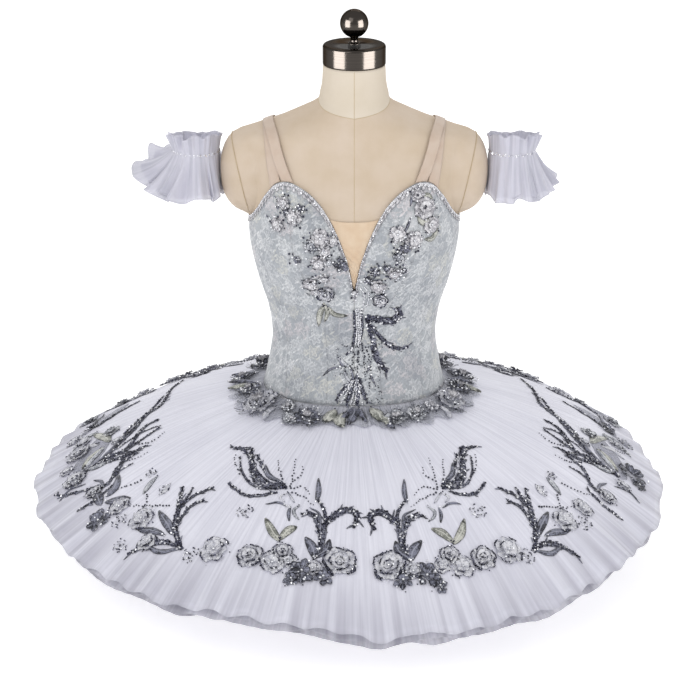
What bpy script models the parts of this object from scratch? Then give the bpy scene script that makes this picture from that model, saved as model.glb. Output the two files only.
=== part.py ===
"""A classical ballet tutu worn by a limbless dress form.

The form stands on its base board with the origin under its middle, +Z up and the front facing -Y.
Everything is in metres. A place on the form's skin is given by an angle, 0 at centre front, 90
towards +X and 180 at centre back, and by a height above the waist.
"""

import math

import bmesh
import bpy
import numpy as np

# ------------------------------------------------------------------ driving dimensions, metres
WAIST = 0.350  # height of the waist above the floor
GAP = 0.0004  # air left between pieces that touch

BOARD_THICKNESS = 0.012
BOARD_MARGIN = 0.004  # the board stands in from the form's edge by this much
# The angles of the form's columns on one side, closest where the bust curves
FORM_ANGLES = (0, 6, 13, 21, 29, 37, 46, 56, 68, 80, 92, 104, 116, 128, 141, 154, 167, 180)
FORM_INSET = 0.0022  # the form's facets lie this far inside its smooth skin
NECK_TOP = 0.431
CAP_RADIUS = 0.0474
CAP_HEIGHT = 0.030
CAP_EDGE = 0.004
BALL_RADIUS = 0.0213
BALL_LIFT = 0.0305  # the ball's centre above the cap
STEM_RADIUS = 0.0055

CLOTH_CLEARANCE = 0.0010  # cloth stands off the form by this much
BODICE_WALL = 0.0020
INSERT_WALL = 0.0012
STRAP_WALL = 0.0012
STRAP_WIDTH = 0.015
STRAP_CLEARANCE = 0.0014  # the straps stand off the form by this much
PANTY_WALL = 0.0012
NET_WALL = 0.0012
BODICE_HEM = -0.082
PANTY_HEM = -0.205

SHOULDER_CAP_CENTRE = (0.153, 0.005, 0.267)  # x, y and height above the waist
SHOULDER_CAP_RADII = (0.051, 0.048, 0.0665)
SHOULDER_CAP_POWER = 2.4  # 2 is an ellipsoid and more is squarer

ARMLET_RADIUS = 0.0330
ARMLET_BAND_HEIGHT = 0.009
ARMLET_BAND_WALL = 0.0016
ARMLET_HEIGHT = 0.297  # of the band above the waist
ARMLET_LENGTH = 0.070
ARMLET_HEADING = 0.024
ARMLET_WAVES = 9
ARMLET_DRAPE = 0.0020  # how far the net's inner face hangs from the shoulder it lies on

# The dress form's level sections.
# columns: height above the waist, half width, front depth, back depth, corner power
FORM_SECTIONS = np.array(
    (
        (-0.3376, 0.155, 0.098, 0.114, 2.4),
        (-0.270, 0.166, 0.105, 0.129, 2.4),
        (-0.200, 0.168, 0.108, 0.132, 2.35),
        (-0.130, 0.155, 0.105, 0.118, 2.3),
        (-0.080, 0.139, 0.099, 0.103, 2.25),
        (-0.040, 0.1305, 0.094, 0.092, 2.2),
        (0.000, 0.1242, 0.091, 0.087, 2.2),
        (0.050, 0.1292, 0.096, 0.091, 2.2),
        (0.100, 0.1440, 0.104, 0.097, 2.25),
        (0.140, 0.1535, 0.109, 0.101, 2.25),
        (0.175, 0.1580, 0.110, 0.103, 2.3),
        (0.210, 0.1560, 0.106, 0.104, 2.3),
        (0.250, 0.1590, 0.096, 0.102, 2.25),
        (0.290, 0.1680, 0.083, 0.097, 2.15),
        (0.316, 0.1740, 0.074, 0.090, 2.05),
        (0.329, 0.1710, 0.070, 0.085, 2.0),
        (0.3405, 0.1390, 0.067, 0.080, 2.0),
        (0.350, 0.1100, 0.064, 0.075, 2.0),
        (0.361, 0.0810, 0.060, 0.068, 2.0),
        (0.372, 0.0595, 0.056, 0.060, 2.0),
        (0.392, 0.0510, 0.050, 0.052, 2.0),
        (0.431, 0.0465, 0.0465, 0.0465, 2.0),
    )
)
# The bust is one soft swelling on each side of a general figure.
BUST_DEPTH = 0.024
BUST_CENTRE = (0.074, 0.178)  # from the middle, and above the waist
BUST_SPREAD = (0.044, 0.056)

# The bodice's top edge. columns: angle in degrees, height above the waist
NECKLINE = np.array(
    (
        (0.0, 0.100),
        (1.0, 0.122),
        (2.6, 0.152),
        (5.5, 0.184),
        (9.5, 0.212),
        (14.0, 0.234),
        (20.0, 0.252),
        (27.0, 0.264),
        (34.0, 0.270),
        (42.0, 0.267),
        (52.0, 0.250),
        (64.0, 0.224),
        (78.0, 0.205),
        (92.0, 0.198),
        (120.0, 0.194),
        (150.0, 0.186),
        (180.0, 0.178),
    )
)
# The bodice's seams. columns: height above the waist, then each seam's angle in degrees
SEAMS = np.array(
    (
        (-0.090, 0.0, 15.0, 47.0, 98.0, 140.0, 180.0),
        (0.000, 0.0, 17.0, 52.0, 97.0, 141.0, 180.0),
        (0.090, 0.0, 21.0, 53.0, 97.0, 140.0, 180.0),
        (0.150, 0.0, 29.0, 64.0, 98.0, 138.0, 180.0),
        (0.210, 0.0, 34.0, 79.0, 100.0, 136.0, 180.0),
        (0.280, 0.0, 37.0, 88.0, 103.0, 134.0, 180.0),
    )
)
# The cut of one half of the bodice, from centre front to centre back.
# columns: name, columns of the wall, crowding of its columns towards the first seam
BODICE_CUT = (
    ("centre_front", 7, 1.6),
    ("side_front", 4, 1.0),
    ("side", 4, 1.0),
    ("side_back", 3, 1.0),
    ("back", 4, 1.0),
)
BODICE_ROWS = 9

# The skirt's nets, from the top one down.
# columns: name, height sewn on, rim radius, rim height, columns at the rim, the shares of its
# width that have a ring of points, waves, wave height
NETS = (
    ("net_top", -0.0880, 0.501, -0.246, 240, (0.0, 0.24, 0.48, 0.72, 0.86, 1.0), 60, 0.0060),
    ("net_second", -0.0980, 0.492, -0.259, 144, (0.0, 0.24, 0.48, 0.72, 1.0), 36, 0.0042),
    ("net_third", -0.1090, 0.480, -0.272, 96, (0.0, 0.24, 0.48, 0.72, 1.0), 24, 0.0040),
    ("net_fourth", -0.1210, 0.400, -0.246, 48, (0.0, 0.35, 0.70, 1.0), 12, 0.0035),
    ("net_fifth", -0.1350, 0.310, -0.212, 48, (0.0, 0.50, 1.0), 12, 0.0030),
)
NET_COLUMNS = 48  # columns of every net where it is sewn on
NET_FULL = 0.6  # the share of its width from which a net has all its columns
NET_SEWING = 0.0006  # air between the panty and a net's sewn edge
NET_STRAIGHTNESS = 0.62  # the share of a net's fall that is a straight slope
NET_BEND = 2.3  # the power of the rest, which bends the rim down
RIM_SHIFT = -0.007  # the rims stand this far towards -X
# How the rims leave a level circle. columns: angle, further out, further up
RIM_SHAPE = np.array(
    (
        (-180.0, 0.000, 0.002),
        (-135.0, -0.010, -0.004),
        (-90.0, 0.004, 0.000),
        (-45.0, 0.000, 0.001),
        (-16.0, 0.000, 0.005),
        (0.0, 0.000, -0.005),
        (14.0, 0.000, -0.018),
        (28.0, 0.000, -0.013),
        (60.0, 0.002, -0.009),
        (90.0, 0.002, -0.004),
        (135.0, -0.004, 0.002),
        (180.0, 0.000, 0.002),
    )
)
# The largest folds of the nets. columns: angle in degrees, depth at the rim, half width in degrees
FOLDS = np.array(
    (
        (-62.0, 0.006, 5.0),
        (-30.0, -0.006, 3.5),
        (-18.0, 0.005, 4.0),
        (5.0, -0.009, 3.0),
        (11.0, 0.007, 3.0),
        (34.0, -0.006, 4.0),
        (55.0, 0.006, 5.0),
        (96.0, -0.005, 5.0),
        (138.0, 0.006, 5.0),
        (171.0, -0.006, 4.0),
        (-150.0, -0.005, 5.0),
        (-112.0, 0.005, 5.0),
    )
)

WREATH_START = 0.0030  # from the net's sewn edge to the wreath's inner edge
WREATH_BASE = 0.0020
WREATH_RELIEF = 0.0120
WREATH_FLOWERS = 18
WREATH_COLUMNS = 72
# The wreath's width on the skirt. columns: angle in degrees, width
WREATH_WIDTH = np.array(
    ((0.0, 0.050), (45.0, 0.056), (90.0, 0.061), (135.0, 0.056), (180.0, 0.052))
)

# How far each armlet's ruffle stands out from straight down, in degrees, by the angle round
# its band: 0 in front, 90 away from the body. columns: angle, left armlet, right armlet
ARMLET_FLARE = np.array(
    (
        (-180.0, 74.0, 48.0),
        (-135.0, 38.0, 26.0),
        (-90.0, 2.0, 2.0),
        (-45.0, 9.0, 7.0),
        (0.0, 22.0, 9.0),
        (45.0, 35.0, 17.0),
        (90.0, 49.0, 27.0),
        (125.0, 72.0, 38.0),
        (150.0, 82.0, 50.0),
        (180.0, 74.0, 48.0),
    )
)

# columns: name, colour (linear), roughness, metallic
FINISHES = {
    "linen": ((0.76, 0.66, 0.50), 0.85, 0.0),
    "board": ((0.45, 0.28, 0.15), 0.55, 0.0),
    "gunmetal": ((0.16, 0.14, 0.13), 0.25, 1.0),
    "brocade": ((0.58, 0.63, 0.66), 0.55, 0.0),
    "mesh_nude": ((0.85, 0.62, 0.42), 0.70, 0.0),
    "strap_nude": ((0.80, 0.64, 0.55), 0.65, 0.0),
    "net_white": ((0.86, 0.85, 0.90), 0.75, 0.0),
    "panty_white": ((0.82, 0.82, 0.86), 0.70, 0.0),
    "wreath_silver": ((0.24, 0.25, 0.28), 0.45, 0.3),
    "elastic_white": ((0.84, 0.83, 0.86), 0.60, 0.0),
}


# ------------------------------------------------------------------ scene, materials and meshes
def clear_scene():
    for obj in list(bpy.data.objects):
        bpy.data.objects.remove(obj)


def collection(name):
    made = bpy.data.collections.new(name)
    bpy.context.scene.collection.children.link(made)
    return made


def material(name):
    """The Principled material of one finish, made once."""
    made = bpy.data.materials.get(name)
    if made is None:
        colour, roughness, metallic = FINISHES[name]
        made = bpy.data.materials.new(name)
        made.use_nodes = True
        shader = made.node_tree.nodes["Principled BSDF"]
        shader.inputs["Base Color"].default_value = (*colour, 1.0)
        shader.inputs["Roughness"].default_value = roughness
        shader.inputs["Metallic"].default_value = metallic
    return made


def add_object(name, mesh, finish, target):
    obj = bpy.data.objects.new(name, mesh)
    mesh.materials.append(material(finish))
    mesh.shade_smooth()
    target.objects.link(obj)
    return obj


def lofted_mesh(name, rings, closed=False, mirrored=False):
    """A surface through rows of points. A row may have a whole multiple of the row before it."""
    starts = np.cumsum([0] + [len(ring) for ring in rings])
    faces = []
    for row in range(len(rings) - 1):
        near, far = starts[row], starts[row + 1]
        count, times = len(rings[row]), len(rings[row + 1]) // len(rings[row])
        for i in range(count if closed else count - 1):
            a, b = near + i, near + (i + 1) % count
            fan = [far + (i * times + j) % (count * times) for j in range(times + 1)]
            if times == 1:
                faces.append((a, fan[0], fan[1], b))
                continue
            faces += [(a, fan[j], fan[j + 1]) for j in range(times)]
            faces.append((a, fan[-1], b))
    if mirrored:
        faces = [(face[0], *face[:0:-1]) for face in faces]
    mesh = bpy.data.meshes.new(name)
    mesh.from_pydata((np.vstack(rings) * (-1 if mirrored else 1, 1, 1)).tolist(), [], faces)
    return mesh


def cloth(name, rings, wall, finish, target, closed=False, mirrored=False):
    """A cloth wall: the surface through the rings, thickened on the side its normals point to."""
    obj = add_object(name, lofted_mesh(name, rings, closed, mirrored), finish, target)
    solid = obj.modifiers.new("wall", "SOLIDIFY")
    solid.thickness = wall
    solid.offset = 1.0
    return obj


def turned(name, profile, steps, finish, target):
    """A turned piece: its outer profile, from the top down, spun by a Screw modifier."""
    mesh = bpy.data.meshes.new(name)
    edges = [(i, i + 1) for i in range(len(profile) - 1)]
    mesh.from_pydata([(radius, 0.0, z) for radius, z in profile], edges, [])
    obj = add_object(name, mesh, finish, target)
    screw = obj.modifiers.new("turn", "SCREW")
    screw.steps = steps
    screw.render_steps = steps
    screw.use_merge_vertices = True
    screw.merge_threshold = 0.00005
    return obj


# ------------------------------------------------------------------ the form's skin
def smooth(x, xs, ys):
    """A curve through the points (xs, ys): cubic spans whose slopes are the points' own gradient."""
    x = np.clip(x, xs[0], xs[-1])
    slopes = np.gradient(ys, xs)
    i = np.clip(np.searchsorted(xs, x, side="right") - 1, 0, len(xs) - 2)
    span = xs[i + 1] - xs[i]
    t = (x - xs[i]) / span
    return (
        (1 + 2 * t) * (1 - t) ** 2 * ys[i]
        + t * (1 - t) ** 2 * span * slopes[i]
        + t * t * (3 - 2 * t) * ys[i + 1]
        + t * t * (t - 1) * span * slopes[i + 1]
    )


def section(height):
    """Half width, front depth, back depth and corner power of the form at a height."""
    return [smooth(height, FORM_SECTIONS[:, 0], FORM_SECTIONS[:, k]) for k in (1, 2, 3, 4)]


def bust(x, height):
    """How far the bust stands forward of the plain section."""
    across = (np.abs(x) - BUST_CENTRE[0]) / BUST_SPREAD[0]
    up = (height - BUST_CENTRE[1]) / BUST_SPREAD[1]
    return BUST_DEPTH * np.exp(-(across**2) - up**2)


def skin(angle, height):
    """Points of the form's skin, at angles in degrees and heights above the waist."""
    angle, height = np.broadcast_arrays(np.asarray(angle, float), np.asarray(height, float))
    half, front, back, power = section(height)
    s, c = np.sin(np.radians(angle)), np.cos(np.radians(angle))
    x = half * np.sign(s) * np.abs(s) ** (2 / power)
    reach = np.abs(c) ** (2 / power)
    y = np.where(c > 0, -front * reach - bust(x, height) * reach**0.5, back * reach)
    return np.stack([x, y, WAIST + height], axis=-1)


def off_skin(angle, height, distance):
    """Points off the form's skin, along its outward normal."""
    angle_step, height_step = 0.5, 0.002
    along = skin(angle + angle_step, height) - skin(angle - angle_step, height)
    up = skin(angle, height + height_step) - skin(angle, height - height_step)
    normal = np.cross(along, up)
    normal /= np.linalg.norm(normal, axis=-1, keepdims=True)
    return skin(angle, height) + normal * np.asarray(distance)[..., None]


def inside_form(x, y, height):
    """Whether points lie in the form, from the same sections as its skin."""
    half, front, back, power = section(height)
    share = np.clip(np.abs(x) / half, 0, 1)
    reach = (1 - share**power) ** (1 / power)
    return (share < 1) & (y > -front * reach - bust(x, height) * reach**0.5) & (y < back * reach)


# ------------------------------------------------------------------ dress form
def level_ring(height, distance):
    """The form's level outline at a height, moved out from its skin by a distance."""
    angles = np.array(FORM_ANGLES + tuple(360 - a for a in FORM_ANGLES[-2:0:-1]), float)
    ring = off_skin(angles, height, np.full_like(angles, distance))
    ring[:, 2] = WAIST + height
    return ring


def build_form(target, cutters):
    heights = np.concatenate(
        [
            np.linspace(FORM_SECTIONS[0, 0], -0.08, 5),
            (-0.040, 0.0, 0.040, 0.080, 0.115, 0.150, 0.178, 0.205, 0.230, 0.258, 0.290),
            (0.316, 0.329, 0.3405, 0.350, 0.361, 0.372, 0.400, NECK_TOP),
        ]
    )
    rings = [level_ring(height, -FORM_INSET) for height in heights]
    torso = add_object("form_torso", lofted_mesh("form_torso", rings, True), "linen", target)
    bm = bmesh.new()
    bm.from_mesh(torso.data)
    bmesh.ops.holes_fill(bm, edges=[e for e in bm.edges if e.is_boundary], sides=0)
    bmesh.ops.recalc_face_normals(bm, faces=bm.faces)
    bm.to_mesh(torso.data)
    bm.free()
    for side, sign in (("left", -1), ("right", 1)):
        shoulder = build_shoulder_cap(side, sign, cutters)
        union = torso.modifiers.new("shoulder_" + side, "BOOLEAN")
        union.operation = "UNION"
        union.object = shoulder
    return torso


def build_shoulder_cap(side, sign, cutters):
    """The rounded stump under an armhole, which a Boolean joins to the torso."""
    mesh = bpy.data.meshes.new("shoulder_cap_" + side)
    bm = bmesh.new()
    bmesh.ops.create_uvsphere(bm, u_segments=16, v_segments=10, radius=1.0)
    for vertex in bm.verts:
        powers = sum(abs(part) ** SHOULDER_CAP_POWER for part in vertex.co)
        vertex.co /= powers ** (1 / SHOULDER_CAP_POWER)
    x, y, height = SHOULDER_CAP_CENTRE
    bmesh.ops.scale(bm, vec=SHOULDER_CAP_RADII, verts=bm.verts)
    bmesh.ops.translate(bm, vec=(sign * x, y, WAIST + height), verts=bm.verts)
    bm.to_mesh(mesh)
    bm.free()
    obj = bpy.data.objects.new(mesh.name, mesh)
    obj.hide_render = True
    obj.display_type = "WIRE"
    cutters.objects.link(obj)
    return obj


def build_board(target):
    """The flat board that closes the form below and stands on the floor."""
    edge = level_ring(FORM_SECTIONS[0, 0], -BOARD_MARGIN)
    curve = bpy.data.curves.new("base_board", "CURVE")
    curve.dimensions = "2D"
    curve.fill_mode = "BOTH"
    curve.extrude = BOARD_THICKNESS / 2
    spline = curve.splines.new("POLY")
    spline.points.add(len(edge) - 1)
    for point, (x, y, _) in zip(spline.points, edge):
        point.co = (x, y, 0.0, 1.0)
    spline.use_cyclic_u = True
    board = bpy.data.objects.new("base_board", curve)
    board.location.z = BOARD_THICKNESS / 2
    curve.materials.append(material("board"))
    target.objects.link(board)
    return board


def build_neck_cap(target):
    bottom = WAIST + NECK_TOP + GAP
    top = bottom + CAP_HEIGHT
    inner = CAP_RADIUS - CAP_EDGE
    bends = np.radians(np.linspace(90, 0, 5))
    rim = [(inner + CAP_EDGE * math.cos(a), top - CAP_EDGE + CAP_EDGE * math.sin(a)) for a in bends]
    profile = [(0.0, top), *rim, (CAP_RADIUS, bottom), (0.0, bottom)]
    return turned("neck_cap", profile, 24, "gunmetal", target)


def build_finial(target):
    """The ball on its waisted stem."""
    foot = WAIST + NECK_TOP + CAP_HEIGHT + 2 * GAP
    centre = foot + BALL_LIFT
    neck = math.asin(STEM_RADIUS / BALL_RADIUS)
    turns = np.linspace(0, math.pi - neck, 10)
    ball = [(BALL_RADIUS * math.sin(a), centre + BALL_RADIUS * math.cos(a)) for a in turns]
    ball[0] = (0.0, centre + BALL_RADIUS)
    stem = [(STEM_RADIUS, foot + 0.005), (STEM_RADIUS + 0.004, foot), (0.0, foot)]
    return turned("finial", ball + stem, 16, "gunmetal", target)


# ------------------------------------------------------------------ bodice
SIDES = (("left", True), ("right", False))  # left is the -X side, mirrored from the right one


def neckline(angle):
    return smooth(np.abs(angle), NECKLINE[:, 0], NECKLINE[:, 1])


def seam(number, height):
    return smooth(height, SEAMS[:, 0], SEAMS[:, 1 + number])


def panel_columns(number, count, crowding, shift):
    """The angle of each column of a panel at any height, clear of both seams by shift degrees."""
    shares = np.linspace(0, 1, count + 1) ** crowding

    def angle(height):
        first = seam(number, height) + shift
        last = seam(number + 1, height) - shift
        return first + (last - first) * shares

    return angle


def panel_top(angle):
    """Where each column of a panel meets the neckline, found by halving."""
    low, high = np.full_like(angle(0.0), 0.05), np.full_like(angle(0.0), 0.30)
    for _ in range(40):
        middle = (low + high) / 2
        column = np.array([angle(height)[i] for i, height in enumerate(middle)])
        below = middle < neckline(column)
        low, high = np.where(below, middle, low), np.where(below, high, middle)
    return low


def build_bodice(target):
    """Five panels a side, each a curved wall between two seams."""
    half_gap = math.degrees(GAP / 2 / 0.12)
    for side, mirrored in SIDES:
        for number, (name, count, crowding) in enumerate(BODICE_CUT):
            angle = panel_columns(number, count, crowding, half_gap)
            tops = panel_top(angle)
            rings = []
            for share in np.linspace(0, 1, BODICE_ROWS + 1):
                heights = BODICE_HEM + (tops - BODICE_HEM) * share
                columns = np.array([angle(h)[i] for i, h in enumerate(heights)])
                rings.append(off_skin(columns, heights, np.full_like(heights, CLOTH_CLEARANCE)))
            rings = rings[::-1]
            cloth(f"bodice_{name}_{side}", rings, BODICE_WALL, "brocade", target, False, mirrored)


def build_insert(target):
    """The skin-coloured mesh that fills the plunge between the cups."""
    low, high = NECKLINE[0, 1] + 0.012, 0.222
    rings = []
    for height in np.linspace(high, low, 8):
        edge = np.interp(height, NECKLINE[:9, 1], NECKLINE[:9, 0])
        edge -= math.degrees(2 * GAP / 0.11)
        dip = 0.005 * (1 - np.linspace(-1, 1, 7) ** 2) * (height - low) / (high - low)
        angles = np.linspace(-edge, edge, 7)
        rings.append(off_skin(angles, height - dip, np.full(7, CLOTH_CLEARANCE)))
    return cloth("plunge_insert", rings, INSERT_WALL, "mesh_nude", target)


# The straps of the +X side. The inner one ends on top of the outer one, on the shoulder.
# columns: name, distance from the middle at the cup, on the shoulder and at its far end
STRAPS = (("outer", 0.1165, 0.1300, 0.098), ("inner", 0.0975, 0.1290, 0.129))
STRAP_PIVOT = 0.200  # height of the line that a strap's path is measured round
STRAP_ROWS = 16
STRAP_ROOM = 0.0008  # between a strap's end and the bodice's edge
STRAP_LIFT = 0.0023  # the inner strap rises this much to lie on the outer one


def strap_edge(xs, turns):
    """Points of the form's skin at the given distances from the middle, round the shoulder."""
    low, high = np.zeros_like(turns), np.full_like(turns, 0.25)
    for _ in range(40):
        reach = (low + high) / 2
        y, height = -reach * np.cos(turns), STRAP_PIVOT + reach * np.sin(turns)
        within = inside_form(xs, y, height)
        low, high = np.where(within, reach, low), np.where(within, high, reach)
    return np.stack([xs, -low * np.cos(turns), WAIST + STRAP_PIVOT + low * np.sin(turns)], axis=-1)


def angle_of(x, height):
    """The angle on the form's front at which its skin is this far from the middle."""
    half, _, _, power = section(np.asarray(height, float))
    return np.degrees(np.arcsin(np.clip((np.abs(x) / half) ** (power / 2), 0, 1)))


def edge_room(x, turns, behind):
    """How far a strap's end, across its whole width, lies above the bodice's top edge."""
    room = []
    for d in (-STRAP_WIDTH / 2, 0.0, STRAP_WIDTH / 2):
        height = strap_edge(np.full_like(turns, x + d), turns)[:, 2] - WAIST
        angle = angle_of(x + d, height)
        room.append(height - neckline(180 - angle if behind else angle))
    return np.min(room, axis=0)


def strap_turns(name, at_cup, at_shoulder, at_back):
    """The rows of a strap's path, from the cup over the shoulder to its far end."""
    trial = np.linspace(0.0, math.pi, 1441)
    top = trial[np.argmax(strap_edge(np.full_like(trial, at_shoulder), trial)[:, 2])]
    rising, falling = trial[trial < top], trial[trial > top]
    front = [rising[edge_room(cup, rising, False) > STRAP_ROOM][0] for _, cup, *_ in STRAPS]
    last = falling[edge_room(STRAPS[0][3], falling, True) > STRAP_ROOM][-1]
    before = np.linspace(front[0], top, STRAP_ROWS // 2 + 1)
    if name == "outer":
        return np.concatenate([before, np.linspace(top, last, STRAP_ROWS // 2 + 1)[1:]])
    return np.concatenate([[front[1]], before[before > front[1] + 0.03]])


def strap_rows(name, at_cup, at_shoulder, at_back):
    """A strap's underside, as rows of points across its width."""
    turns = strap_turns(name, at_cup, at_shoulder, at_back)
    marks = np.array((turns[0], math.radians(91), max(turns[-1], math.radians(92))))
    path = smooth(turns, marks, np.array((at_cup, at_shoulder, at_back)))
    half = STRAP_WIDTH / 2
    rows = np.stack([strap_edge(path + d, turns) for d in (-half, 0.0, half)], axis=1)
    lift = np.full(rows.shape[:2], STRAP_CLEARANCE)
    if name == "inner":
        lift += STRAP_LIFT * np.clip(np.linspace(0, 6, len(turns)), 0, 1)[:, None]
    return rows + row_normals(rows) * lift[..., None]


def build_straps(target):
    for side, mirrored in SIDES:
        for strap in STRAPS:
            name = f"strap_{strap[0]}_{side}"
            rings = list(strap_rows(*strap)[:, ::-1])
            cloth(name, rings, STRAP_WALL, "strap_nude", target, False, mirrored)


def row_normals(rows):
    """Outward normals of a strip of rows that runs from front to back with x growing."""
    across = np.gradient(rows, axis=1)
    along = np.gradient(rows, axis=0)
    normal = np.cross(across, along)
    return normal / np.linalg.norm(normal, axis=-1, keepdims=True)


# ------------------------------------------------------------------ skirt
def wave(angle, count):
    """Uneven ruffle waves round a rim, from -1 to 1, for angles in radians."""
    sway = 1.2 * np.sin(3 * angle + count) + 0.7 * np.sin(7 * angle + 2 * count)
    return np.sin(count * angle + sway) * (0.78 + 0.22 * np.sin(5 * angle + 3 * count))


def fold(angle):
    """The depth of the large folds at the rim, for angles in degrees."""
    away = (angle[..., None] - FOLDS[:, 0] + 180) % 360 - 180
    return (FOLDS[:, 1] * np.exp(-((away / FOLDS[:, 2]) ** 2))).sum(axis=-1)


def net_point(net, angle, share):
    """A point of a net's underside: share runs from where it is sewn, 0, to its rim, 1."""
    _, sewn, radius, rim, *_, waves, wave_height = net
    turn = np.radians(angle)
    inner = off_skin(angle, sewn, np.full_like(turn, CLOTH_CLEARANCE + PANTY_WALL + NET_SEWING))
    ruffle = smooth(share, np.array((0.0, 0.45, 0.75, 1.0)), np.array((0.0, 0.0, 0.35, 1.0)))
    swing = wave(turn, waves) * ruffle
    away = (np.asarray(angle) + 180) % 360 - 180
    further, higher = (smooth(away, RIM_SHAPE[:, 0], RIM_SHAPE[:, k]) for k in (1, 2))
    outer_radius = radius * (1 + 0.008 * wave(turn + 1.0, waves // 3) * ruffle) + further
    x = inner[..., 0] * (1 - share) + (outer_radius * np.sin(turn) + RIM_SHIFT) * share
    y = inner[..., 1] * (1 - share) - outer_radius * np.cos(turn) * share
    fall = NET_STRAIGHTNESS * share + (1 - NET_STRAIGHTNESS) * share**NET_BEND
    drop = sewn - rim - higher
    z = WAIST + sewn - drop * fall + wave_height * swing + fold(angle) * share**2
    return np.stack([x, y, z + 0 * x], axis=-1)


def net_rings(net):
    """Rings of points from the sewn edge to the rim, with more of them where the waves are."""
    plan = [(NET_COLUMNS if share < NET_FULL else net[4], share) for share in net[5]]
    return [
        net_point(net, np.linspace(0, 360, count, endpoint=False), share)
        for count, share in plan
    ]


def build_nets(target):
    for net in NETS:
        cloth(net[0], net_rings(net), NET_WALL, "net_white", target, closed=True)


def build_panty(target):
    """The yoke of the panty that the nets are sewn on, open at its hem."""
    angles = np.linspace(0, 360, NET_COLUMNS, endpoint=False)
    heights = (BODICE_HEM - GAP, -0.104, -0.136, -0.170, PANTY_HEM)
    gap = np.full(NET_COLUMNS, CLOTH_CLEARANCE)
    rings = [off_skin(angles, height, gap) for height in heights]
    return cloth("panty", rings, PANTY_WALL, "panty_white", target, closed=True)


# ------------------------------------------------------------------ wreath
def wreath_height(angle, share):
    """The wreath's thickness: a thin net ground with one rounded flower after another."""
    turn = np.radians(angle)
    petals = 0.5 + 0.5 * np.cos(WREATH_FLOWERS * turn)
    crown = np.sin(np.pi * np.clip(share * 1.15, 0, 1)) ** 0.8
    return WREATH_BASE + WREATH_RELIEF * (0.25 + 0.75 * petals) * crown


def build_wreath(target):
    """A ring of flowers on the skirt's top net, round the bodice's hem."""
    angles = np.linspace(0, 360, WREATH_COLUMNS, endpoint=False)
    folded = np.abs((angles + 180) % 360 - 180)
    width = smooth(folded, WREATH_WIDTH[:, 0], WREATH_WIDTH[:, 1])
    width = width * (0.90 + 0.10 * np.cos(WREATH_FLOWERS * np.radians(angles)))
    net = NETS[0]
    start = WREATH_START
    full = net[2] - 0.13
    under, upper = [], []
    for share in (0.0, 0.33, 0.66, 1.0):
        along = (start + width * share) / full
        ground = net_point(net, angles, along)
        ground[:, 2] += NET_WALL * 1.2 + GAP
        under.append(ground)
        top = ground.copy()
        top[:, 2] += wreath_height(angles, share)
        upper.append(top)
    mesh = lofted_mesh("hip_wreath", under + upper[::-1] + [under[0]], True)
    obj = add_object("hip_wreath", mesh, "wreath_silver", target)
    bm = bmesh.new()
    bm.from_mesh(mesh)
    bmesh.ops.remove_doubles(bm, verts=bm.verts, dist=0.00001)
    bmesh.ops.recalc_face_normals(bm, faces=bm.faces)
    bm.to_mesh(mesh)
    bm.free()
    return obj


# ------------------------------------------------------------------ armlets
def shoulder_reach(height):
    """How far the shoulder cap stands from the middle at a height."""
    share = np.clip((height - SHOULDER_CAP_CENTRE[2]) / SHOULDER_CAP_RADII[2], -1, 1)
    bulge = (1 - np.abs(share) ** SHOULDER_CAP_POWER) ** (1 / SHOULDER_CAP_POWER)
    return SHOULDER_CAP_CENTRE[0] + SHOULDER_CAP_RADII[0] * bulge


def armlet_point(angle, radius, out, down):
    """A point round an armlet's band, for the +X side: 0 is in front and 90 away from the body."""
    turn = np.radians(angle)
    outside = ARMLET_RADIUS + ARMLET_BAND_WALL + 5 * GAP
    centre = shoulder_reach(ARMLET_HEIGHT - ARMLET_BAND_HEIGHT / 2) + ARMLET_DRAPE + outside
    x = centre + (radius + out) * np.sin(turn)
    y = SHOULDER_CAP_CENTRE[1] - (radius + out) * np.cos(turn)
    height = ARMLET_HEIGHT - down
    drape = shoulder_reach(height) + ARMLET_DRAPE
    return np.stack([np.maximum(x, drape), y, WAIST + height + 0 * x], axis=-1)


def build_armlets(target):
    angles = np.linspace(0, 360, 24, endpoint=False)
    half = ARMLET_BAND_HEIGHT / 2
    for column, (side, mirrored) in enumerate(SIDES, 1):
        band = [armlet_point(angles, ARMLET_RADIUS, 0.0, down) for down in (-half, half)]
        name = f"armlet_band_{side}"
        cloth(name, band, ARMLET_BAND_WALL, "elastic_white", target, True, mirrored)
        ruffle = armlet_rings(column)
        name = f"armlet_ruffle_{side}"
        cloth(name, ruffle, NET_WALL, "net_white", target, True, mirrored)


def armlet_rings(column):
    """The net of an armlet, from its heading's edge, in to the band and out to its rim."""
    angles = np.linspace(0, 360, 4 * ARMLET_WAVES + 4, endpoint=False)
    folded = (angles + 180) % 360 - 180
    flare = smooth(folded, ARMLET_FLARE[:, 0], ARMLET_FLARE[:, column])
    inside = ARMLET_RADIUS + ARMLET_BAND_WALL + GAP
    turn = np.radians(angles)
    free = np.clip((flare - 2) / 20, 0, 1)
    rings = []
    for share in (1.0,):
        out = ARMLET_HEADING * share * 0.28 * free * (1 + 0.9 * wave(turn, ARMLET_WAVES + 1))
        rings.append(armlet_point(angles, inside, out, -ARMLET_HEADING * share))
    rings.append(armlet_point(angles, inside, 0.0, 0.0))
    for share in (0.33, 0.67, 1.0):
        tilt = np.radians(flare * (0.72 + 0.28 * share))
        swell = 0.010 * share * wave(turn + 0.4 * column, ARMLET_WAVES + column) * free
        out = ARMLET_LENGTH * share * np.sin(tilt) + swell * np.cos(tilt)
        down = ARMLET_LENGTH * share * np.cos(tilt) - swell * np.sin(tilt)
        rings.append(armlet_point(angles, inside, out, down))
    return rings


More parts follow.
